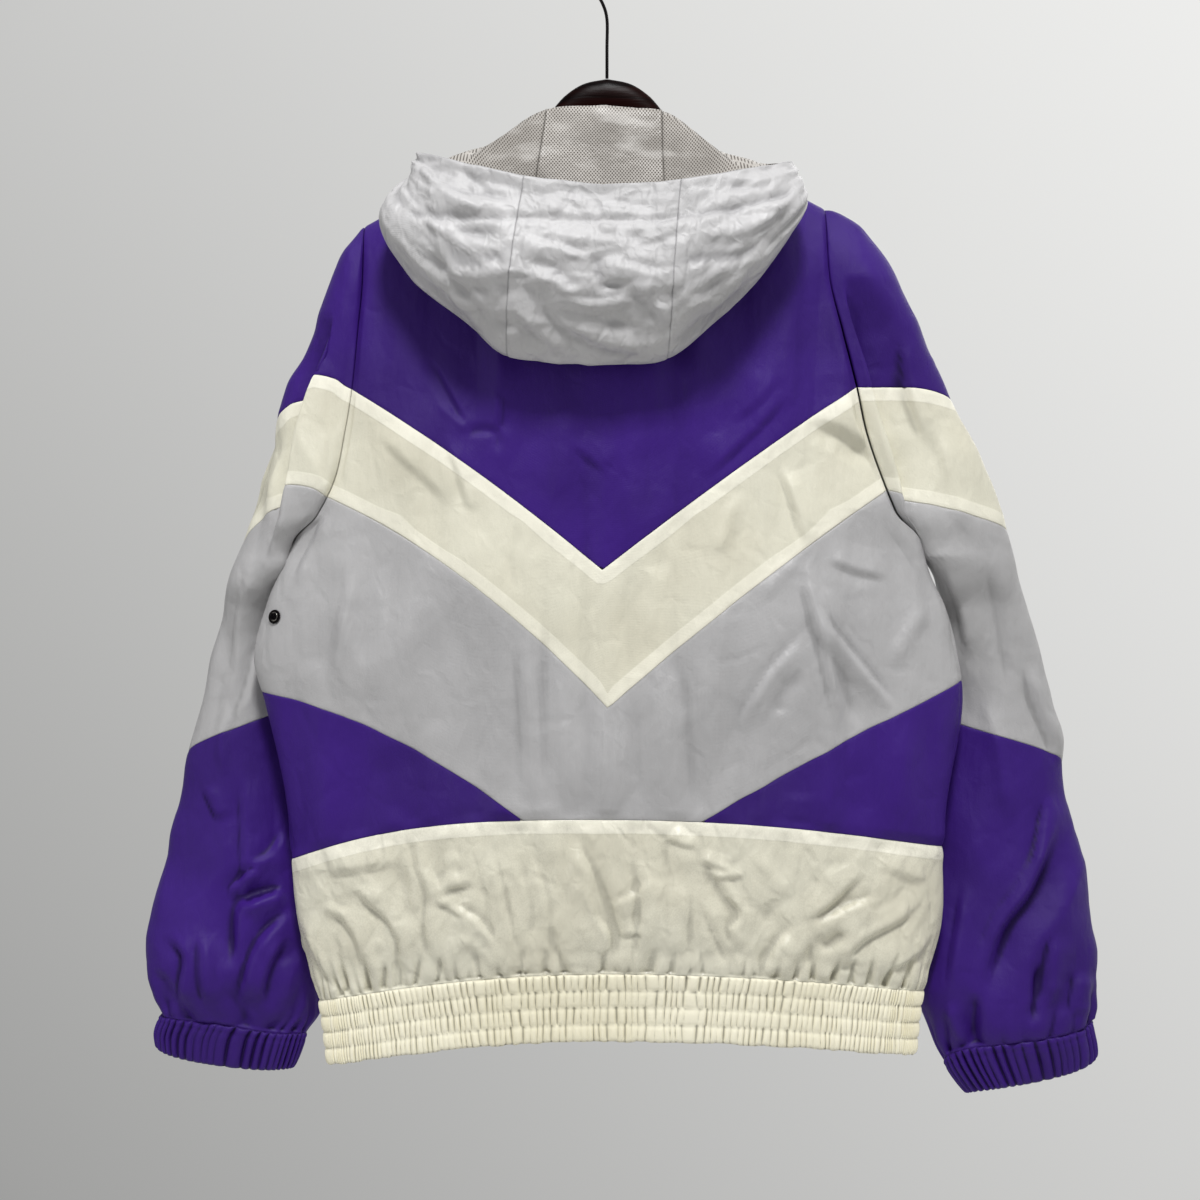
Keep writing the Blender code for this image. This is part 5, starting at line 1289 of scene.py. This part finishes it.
sleevePanels = (("Cap", purple, "purple_shell", None, "stripeTop", (0.22, 0.19, 0.022), "spacing"),
                ("Stripe", cream, "cream_shell", "stripeTop", "stripeHem", (0.24, 0.13, 0.022), "spacing"),
                ("Grey", grey, "grey_shell", "stripeHem", "greyHem", (0.33, 0.22, 0.044), "spacing"),
                ("Lower", purple, "purple_shell", "greyHem", "cuffTop", (0.34, 0.30, 0.089), "lowerSpacing"))
for side, hand in sides:
    def hanging(a, b, point, s, r):
        return sleeveHeight(side, a, point)

    def gathered(a, b, point, s, r):
        return cuffHeight(side, a, r)

    for word, *look, spacing in sleevePanels:
        sleevePanel(word, hand, side, *look, sleevePiece[spacing], hanging)
    sleevePanel("Cuff", hand, side, purple, "purple_shell", "cuffTop", "cuffHem", (0.40, 0.034, 0.0136),
                cuffPiece["spacing"], gathered, crowd=0.0, cloth=0.0012, rim=False, held="gathered")
print("sleeves set in")


# the hood

hoodPiece = {"relief": 0.0012, "spacing": (0.0014, 0.0014), "netSpacing": (0.0034, 0.0034),
             "netLower": 0.0022, "netHidden": (0.52, 0.64), "netFolds": 0.4, "outside": (0.58, 0.66),
             "facets": ((8, 22, 81, 2.0), (19, 46, 85, 0.8)), "innerFacets": (40, 34, 91, 1.4),
             "flatTurn": (0.50, 0.62), "flatFoot": 0.1, "frontFolds": 0.25}
hoodFolds = [
    fold(-2.4, 5, (392, 214), (456, 216), (514, 218), (558, 219), (629, 219), (677, 217), (744, 206),
         (800, 190), ends=0.05),
    crease(3.0, 5, (389, 206), (414, 221), (438, 238), (446, 262), lip=0.8),
    crease(4.2, 5, (434, 270), (469, 271), (501, 271), (524, 275), lip=-0.9),
    crease(3.4, 6, (520, 263), (552, 278), (568, 290), (592, 289), lip=-0.8),
    crease(-3.6, 4, (601, 250), (597, 266), (604, 284), (630, 288)),
    crease(2.6, 6, (610, 262), (640, 272), (668, 279), lip=-0.8),
    fold(2.6, 7, (668, 277), (700, 268), (744, 262), (778, 236), lip=-0.7),
    fold(2.2, 7, (516, 238), (558, 250), (594, 264), lip=-0.7),
    crease(3.0, 6, (550, 292), (558, 316), (584, 335), (616, 345), (666, 352), lip=0.8),
    crease(2.2, 5, (508, 300), (533, 327), (552, 342), (580, 358), lip=0.7),
    crease(1.8, 4, (502, 338), (520, 330), (544, 320)), crease(1.8, 4, (530, 352), (560, 346)),
    crease(3.0, 5, (630, 282), (654, 303), (668, 328), lip=0.8),
    crease(2.6, 5, (668, 330), (690, 306), (714, 290), (746, 264), lip=-0.8),
    crease(2.4, 5, (664, 308), (698, 284), (742, 258), lip=-0.7),
    crease(2.4, 6, (404, 240), (437, 252), (458, 273), (484, 304), (500, 332), lip=0.8),
    fold(2.0, 5, (384, 226), (424, 267), (466, 313), (498, 344), lip=0.8),
    crease(2.2, 5, (734, 212), (768, 206), (790, 212), lip=0.7),
    fold(2.6, 6, (700, 242), (744, 230), (776, 210), (798, 190), lip=0.8),
    fold(2.2, 6, (682, 240), (704, 222), (730, 212), lip=-0.6),
    crease(3.0, 5, (414, 158), (442, 188), (480, 201), (516, 205), lip=-0.7),
    crease(2.6, 5, (420, 188), (456, 200), (484, 210), lip=-0.7),
    crease(1.8, 4, (467, 168), (486, 182), (502, 198), lip=0.6),
    crease(1.8, 4, (598, 208), (616, 205), (638, 210), lip=-0.7), crease(1.6, 3, (636, 220), (640, 234)),
    crease(1.6, 3, (598, 221), (614, 234)), fold(2.0, 8, (540, 232), (580, 240), (600, 248)),
    fold(-2.0, 7, (620, 236), (652, 244), (672, 240)),
    fold(2.2, 6, (560, 300), (600, 305), (634, 298), lip=-0.5),
    fold(-1.8, 8, (600, 320), (630, 330), (650, 336)),
    crease(2.0, 5, (760, 196), (780, 184), (796, 172), lip=0.7),
    fold(2.0, 5, (722, 176), (750, 182), (776, 178), lip=0.6),
    fold(1.6, 5, (540, 196), (556, 206), (560, 216)),
    fold(1.8, 5, (440, 300), (462, 306), (486, 304), lip=0.6),
    fold(2.0, 6, (700, 318), (728, 292), (752, 274), lip=0.7),
    fold(-1.8, 5, (448, 226), (476, 232), (508, 230)),
    fold(1.8, 5, (458, 244), (484, 250), (512, 246), lip=0.6),
]


def hoodHeight(turn, along, point):
    u, v = layout(point)
    outer = ease(along, *hoodPiece["outside"])
    out = foldHeight(u, v, hoodFolds)
    for wide, tall, seed, high in hoodPiece["facets"]:
        out += facets(turn * wide, along * tall, seed) * high
    inner = uneven(facets, u, v, hoodPiece["innerFacets"])
    collar = mix(1.0, hoodPiece["frontFolds"], ease(np.abs(turn), *hoodPiece["flatTurn"]))
    foot = ease(along, 0.0, hoodPiece["flatFoot"])
    return (out * outer + inner * (1 - outer)) * hoodPiece["relief"] * collar * foot


def crumpled(a, b, point, s, r):
    return hoodHeight(a, b, point)


def netted(a, b, point, s, r):
    hidden = ease(b, *hoodPiece["netHidden"])
    return hoodHeight(a, b, point) * mix(1, hoodPiece["netFolds"], hidden) - hoodPiece["netLower"] * hidden


seamTurn = hoodForm["seam"]
hoodPanels = (("left", -seamTurn, -1.0), ("centre", -seamTurn, seamTurn), ("right", seamTurn, 1.0))
for word, first, last in hoodPanels:
    def cut(s, r):
        return mix(first, last, s), r

    sheet = (0.16, 0.46, 0.049) if word == "centre" else (0.20, 0.46, 0.043)
    shell = makeSheet(f"hoodShell_{word}", hood, cut, 1, crumpled, hoodPiece["spacing"])
    dress(shell, hoodGrey, f"hood_shell_{word}", "hood_shell", sheet, cloth=0.0010)
    lining = makeSheet(f"hoodLining_{word}", hood, cut, 1, netted, hoodPiece["netSpacing"],
                       lift=-hoodForm["liningIn"])
    dress(lining, net, f"hood_lining_{word}", "mesh_lining", sheet, cloth=0.0006)
print("hood crumpled")


# zip

zipForm = {"tapeInner": 0.0023, "tapeOuter": 0.0078, "top": 0.1905, "pitch": 0.0020, "start": 0.0015,
           "tooth": (0.0021, 0.0011, 0.0012), "toothAside": 0.00085, "toothIn": 0.0002, "toothEdge": 0.00028}


def frontLine(drop):
    # the y of the front at the zip, down the collar and then the torso
    foot = neckPoint(np.array(1.0))
    low, high = np.zeros(drop.shape), np.ones(drop.shape)
    for _ in range(30):
        middle = (low + high) / 2
        lower = -hood(np.ones(drop.shape), middle)[..., 2] > drop
        low, high = np.where(lower, middle, low), np.where(lower, high, middle)
    onCollar = hood(np.ones(drop.shape), low)[..., 1]
    share = shareAt(right, body["zipHalf"], drop)
    return np.where(drop > -foot[2], torso(front, share, drop)[..., 1], onCollar)


def tapeSurface(across, drop):
    across, drop = together(across, drop)
    return np.stack([across, frontLine(drop), -drop], -1)


zipHem = float(bandHem.at(np.array(0.0)))
for side, hand in sides:
    def tapeCut(s, r):
        ends = sorted((side * zipForm["tapeInner"], side * zipForm["tapeOuter"]))
        return mix(*ends, s), mix(zipForm["top"], zipHem, r) + 0 * s

    tape = makeSheet(f"zipTape_{hand}", tapeSurface, tapeCut, 1, lambda a, b, point, s, r: 0.0 * s,
                     (0.0011, 0.004), lift=-0.0002, dip=0.0, crowd=0.0)
    dress(tape, zipCloth, f"zip_tape_{hand}", "zip_tape", (0.0105, 0.745, 0.0041), rim=False, restsOn=())


def solid(name, bm, material, node, smooth=35):
    # a hard piece, its faces turned outward
    bmesh.ops.recalc_face_normals(bm, faces=bm.faces[:])
    mesh = bpy.data.meshes.new(name)
    bm.to_mesh(mesh)
    bm.free()
    mesh.shade_smooth()
    mesh.set_sharp_from_angle(angle=math.radians(smooth))
    return finished(placed(name, mesh), material, node)


def rings(segments, radii, places):
    # a closed tube through circles of these radii
    bm = bmesh.new()
    ring = []
    for radius, place in zip(radii, places):
        verts = bmesh.ops.create_circle(bm, segments=segments, radius=radius, matrix=place)["verts"]
        edges = list({edge for vertex in verts for edge in vertex.link_edges})
        if ring:
            bmesh.ops.bridge_loops(bm, edges=ring + edges)
        else:
            bmesh.ops.contextual_create(bm, geom=edges)
        ring = edges
    bmesh.ops.contextual_create(bm, geom=ring)
    return bm


count = int((zipHem - zipForm["top"] - 2 * zipForm["start"]) / zipForm["pitch"])
drops = zipForm["top"] + zipForm["start"] + zipForm["pitch"] * np.arange(count)
bm = bmesh.new()
for drop, y in zip(drops, frontLine(drops)):
    for side, lag in ((left, 0.0), (right, zipForm["pitch"] / 2)):
        tooth = bmesh.ops.create_cube(bm, size=1.0)["verts"]
        bmesh.ops.scale(bm, verts=tooth, vec=zipForm["tooth"])
        place = (side * zipForm["toothAside"], y - zipForm["toothIn"], -drop - lag)
        bmesh.ops.translate(bm, verts=tooth, vec=place)
bmesh.ops.bevel(bm, geom=bm.edges[:], offset=zipForm["toothEdge"], segments=1, profile=0.5, material=-1,
                affect="EDGES")
solid("zipCoil", bm, zipNylon, "zip_coil")
for node in ("zip_slider", "zip_pull"):
    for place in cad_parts[node].material_slots:
        place.material = gunmetal
print("zip closed:", count, "turns a side")


# pockets and press studs

pocket = {"first": 0.73, "last": 0.97, "top": 0.572, "hem": 0.660, "lift": 0.0009, "taper": 0.55,
          "stitchIn": 0.0030, "stitchWide": 0.0007, "stitchDeep": 0.0004, "size": (0.05, 0.088),
          "ripples": (2.2, 3.2, 95, 0.0003)}
snap = {"share": 0.80, "drop": 0.5838, "high": 0.0020, "pale": (0.0030, 0.0039),
        "rings": ((0.0, 0.0000), (0.0059, 0.0000), (0.0060, 0.0006), (0.0057, 0.0011), (0.0052, 0.0013),
                  (0.0047, 0.0011), (0.0043, 0.0010), (0.0040, 0.0015), (0.0036, 0.0019), (0.0031, 0.0019),
                  (0.0027, 0.0015), (0.0024, 0.0006), (0.0014, 0.0003), (0.0009, 0.0006), (0.0004, 0.0008))}
for side, hand in sides:
    face = back if side == left else front

    def weltCut(s, r):
        first = mix(pocket["first"], pocket["last"], pocket["taper"] * ease(r, 0.25, 1.0))
        return side * mix(first, pocket["last"], s), mix(pocket["top"], pocket["hem"], r) + 0 * s

    def weltFace(share, drop):
        return torso(face, share, drop)

    def weltLift(a, b, point, s, r):
        wide, tall = pocket["size"]
        edge = np.minimum(np.minimum(s, 1 - s) * wide, np.minimum(r, 1 - r) * tall)
        stitch = pocket["stitchDeep"] * np.exp(-((edge - pocket["stitchIn"]) / pocket["stitchWide"]) ** 2)
        across, down, seed, high = pocket["ripples"]
        return ripples(s * across, r * down, seed) * high - stitch

    welt = makeSheet(f"pocketWelt_{hand}", weltFace, weltCut, face, weltLift, (0.0012, 0.0014),
                     lift=pocket["lift"], dip=0.0003)
    dress(welt, grey, f"pocket_welt_{hand}", "grey_shell", (0.05, 0.09, 0.0033), rim=False,
          restsOn=("back_chevron",) if side == left else ("front_chevron_right",))

    share, drop = side * snap["share"], snap["drop"]
    centre = torso(face, share, drop)
    overA = torso(face, share + 0.002, drop) - torso(face, share - 0.002, drop)
    overB = torso(face, share, drop + 0.002) - torso(face, share, drop - 0.002)
    normal = Vector(face * unit(np.cross(overA, overB)))
    turn = Vector((0, 0, 1)).rotation_difference(normal).to_matrix().to_4x4()
    low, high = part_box(f"snap_{hand}")
    middle = (low + high) / 2 - normal * snap["high"] / 2
    radii, heights = zip(*reversed(snap["rings"][1:]))
    bm = rings(36, radii, [Matrix.Translation((0, 0, height)) for height in heights])
    bmesh.ops.transform(bm, matrix=Matrix.Translation(middle) @ turn, verts=bm.verts)
    stud = solid(f"snapSocket_{hand}", bm, gunmetal, f"snap_{hand}")
    stud.data.materials.append(paleMetal)
    for polygon in stud.data.polygons:
        away = (polygon.center - middle).cross(normal).length
        polygon.material_index = int(snap["pale"][0] < away < snap["pale"][1])
print("pockets and press studs on")


# hanger

hangerForm = {"halfY": 0.0068, "segments": 32, "stations": 120, "crownEnd": 0.066, "tall": (0.017, 0.010),
              "underCloth": 0.0018, "tip": 0.004, "tipShare": 0.55, left: 0.200, right: 0.181}
hangerCrown = Profile(("across", "drop"), (0.000, 0.1267), (0.020, 0.1310), (0.035, 0.1405), (0.045, 0.1515),
                      (0.055, 0.1665), (0.066, 0.1850))
shapes = []
for across in np.linspace(-hangerForm[left], hangerForm[right], hangerForm["stations"]):
    across = float(across)
    reach = abs(across)
    if reach <= hangerForm["crownEnd"]:
        top = hangerCrown.at("drop", np.array(reach))
    else:
        top = roof.at("drop", np.array(across)) + hangerForm["underCloth"]
    tall = float(mix(*hangerForm["tall"], ease(reach, 0.02, 0.19)))
    tip = min(hangerForm[left if across < 0 else right] - reach, hangerForm["tip"]) / hangerForm["tip"]
    scale = mix(hangerForm["tipShare"], 1.0, math.sqrt(max(tip, 0.0)))
    place = Matrix.Translation((across, 0, -(float(top) + (1 - scale) * tall + tall * scale)))
    oval = Matrix.Diagonal((tall * scale, hangerForm["halfY"] * scale, 1, 1))
    shapes.append(place @ Matrix.Rotation(math.pi / 2, 4, "Y") @ oval)
bm = rings(hangerForm["segments"], [1.0] * len(shapes), shapes)
solid("hangerBar", bm, mahogany, "hanger_wood", smooth=60)

hook = {"wire": 0.0014, "radius": 0.0205,
        "stem": ((0.0, -0.1262), (0.0, -0.100), (0.0, -0.076), (-0.004, -0.062), (-0.012, -0.049),
                 (-0.0185, -0.036))}
bends = Profile(("i", "x", "z"), *((i, *p) for i, p in enumerate(hook["stem"])))
crest = hook["wire"] - hook["radius"]
route = [Vector((float(bends.at("x", i)), 0, float(bends.at("z", i)))) for i in np.linspace(0, 5, 26)]
for angle in np.radians(np.linspace(180, -35, 60)):
    route.append(Vector((hook["radius"] * math.cos(angle), 0, crest + hook["radius"] * math.sin(angle))))
shapes = []
for i, point in enumerate(route):
    ahead = route[min(i + 1, len(route) - 1)] - route[max(i - 1, 0)]
    shapes.append(Matrix.Translation(point) @ Matrix.Rotation(math.atan2(ahead.x, ahead.z), 4, "Y"))
bm = rings(16, [hook["wire"]] * len(shapes), shapes)
solid("hangerHook", bm, gunmetal, "hanger_hook")
print("hanger shaped")


# floor, light and camera

studio = {"floorDrop": 1.9, "floorRadius": 1.8, "ambient": 0.30, "glow": {1: 0.2, 2: 0.9, 3: 0.24, 4: 0.60},
          "slant": (0.42, 0.0, 0.36), "tint": (1.0, 1.0, 0.985, 1.0)}
bm = bmesh.new()
bmesh.ops.create_circle(bm, cap_ends=True, segments=96, radius=studio["floorRadius"])
bmesh.ops.translate(bm, verts=bm.verts, vec=(0, 0, -studio["floorDrop"]))
mesh = bpy.data.meshes.new("floor")
bm.to_mesh(mesh)
bm.free()
floor = placed("floor", mesh)
paint = Shade("paleFloor")
patches = paint.blend(paint.between(paint.noise(1.5), 0.3, 0.7), tone("#dcdcda"), tone("#d4d4d2"))
floor.data.materials.append(paint.finish(patches, paint.noise(6.0) * 0.1 + 0.7))

world = bpy.data.worlds.new("studio")
bpy.context.scene.world = world
sky = Nodes(world)
direction = sky.add("TexCoord").outputs["Generated"]
behind = sky.add("SeparateXYZ", None, {0: direction}).outputs["Y"]
glow = sky.add("MapRange", None, {"Value": behind, **studio["glow"]}).outputs[0]
# paler to the right and above
slant = sky.add("VectorMath", {"operation": "DOT_PRODUCT"}, {0: direction, 1: studio["slant"]})
both = sky.add("Math", {"operation": "ADD", "use_clamp": True}, {0: glow, 1: slant.outputs["Value"]})
background = sky.tree.nodes["Background"]
background.inputs["Color"].default_value = studio["tint"]
strength = Wire(sky, both.outputs[0]).maths("MAXIMUM", studio["ambient"])
sky.join(strength, background.inputs["Strength"])


def lamp(name, power, size, place, target):
    light = bpy.data.lights.new(name, "AREA")
    light.energy, light.size = power, size
    thing = placed(name, light)
    thing.location = place
    thing.rotation_euler = (Vector(target) - Vector(place)).to_track_quat("-Z", "Y").to_euler()


lamp("key", 86, 0.55, (0.1, -1.9, 2.05), (0, 0, -0.5))
lamp("fill", 7, 0.9, (-1.9, -1.4, -0.4), (0, 0, -0.7))
lamp("rear", 9, 1.6, (0.9, 2.2, 0.5), (0, 0, -0.5))

view = bpy.data.cameras.new("view")
view.lens, view.sensor_width = 50, 36
camera = placed("view", view)
camera.location = viewpoint["place"]
camera.rotation_euler = (math.pi / 2, 0, 0)
bpy.context.scene.camera = camera
bpy.context.scene.view_settings.view_transform = "Standard"
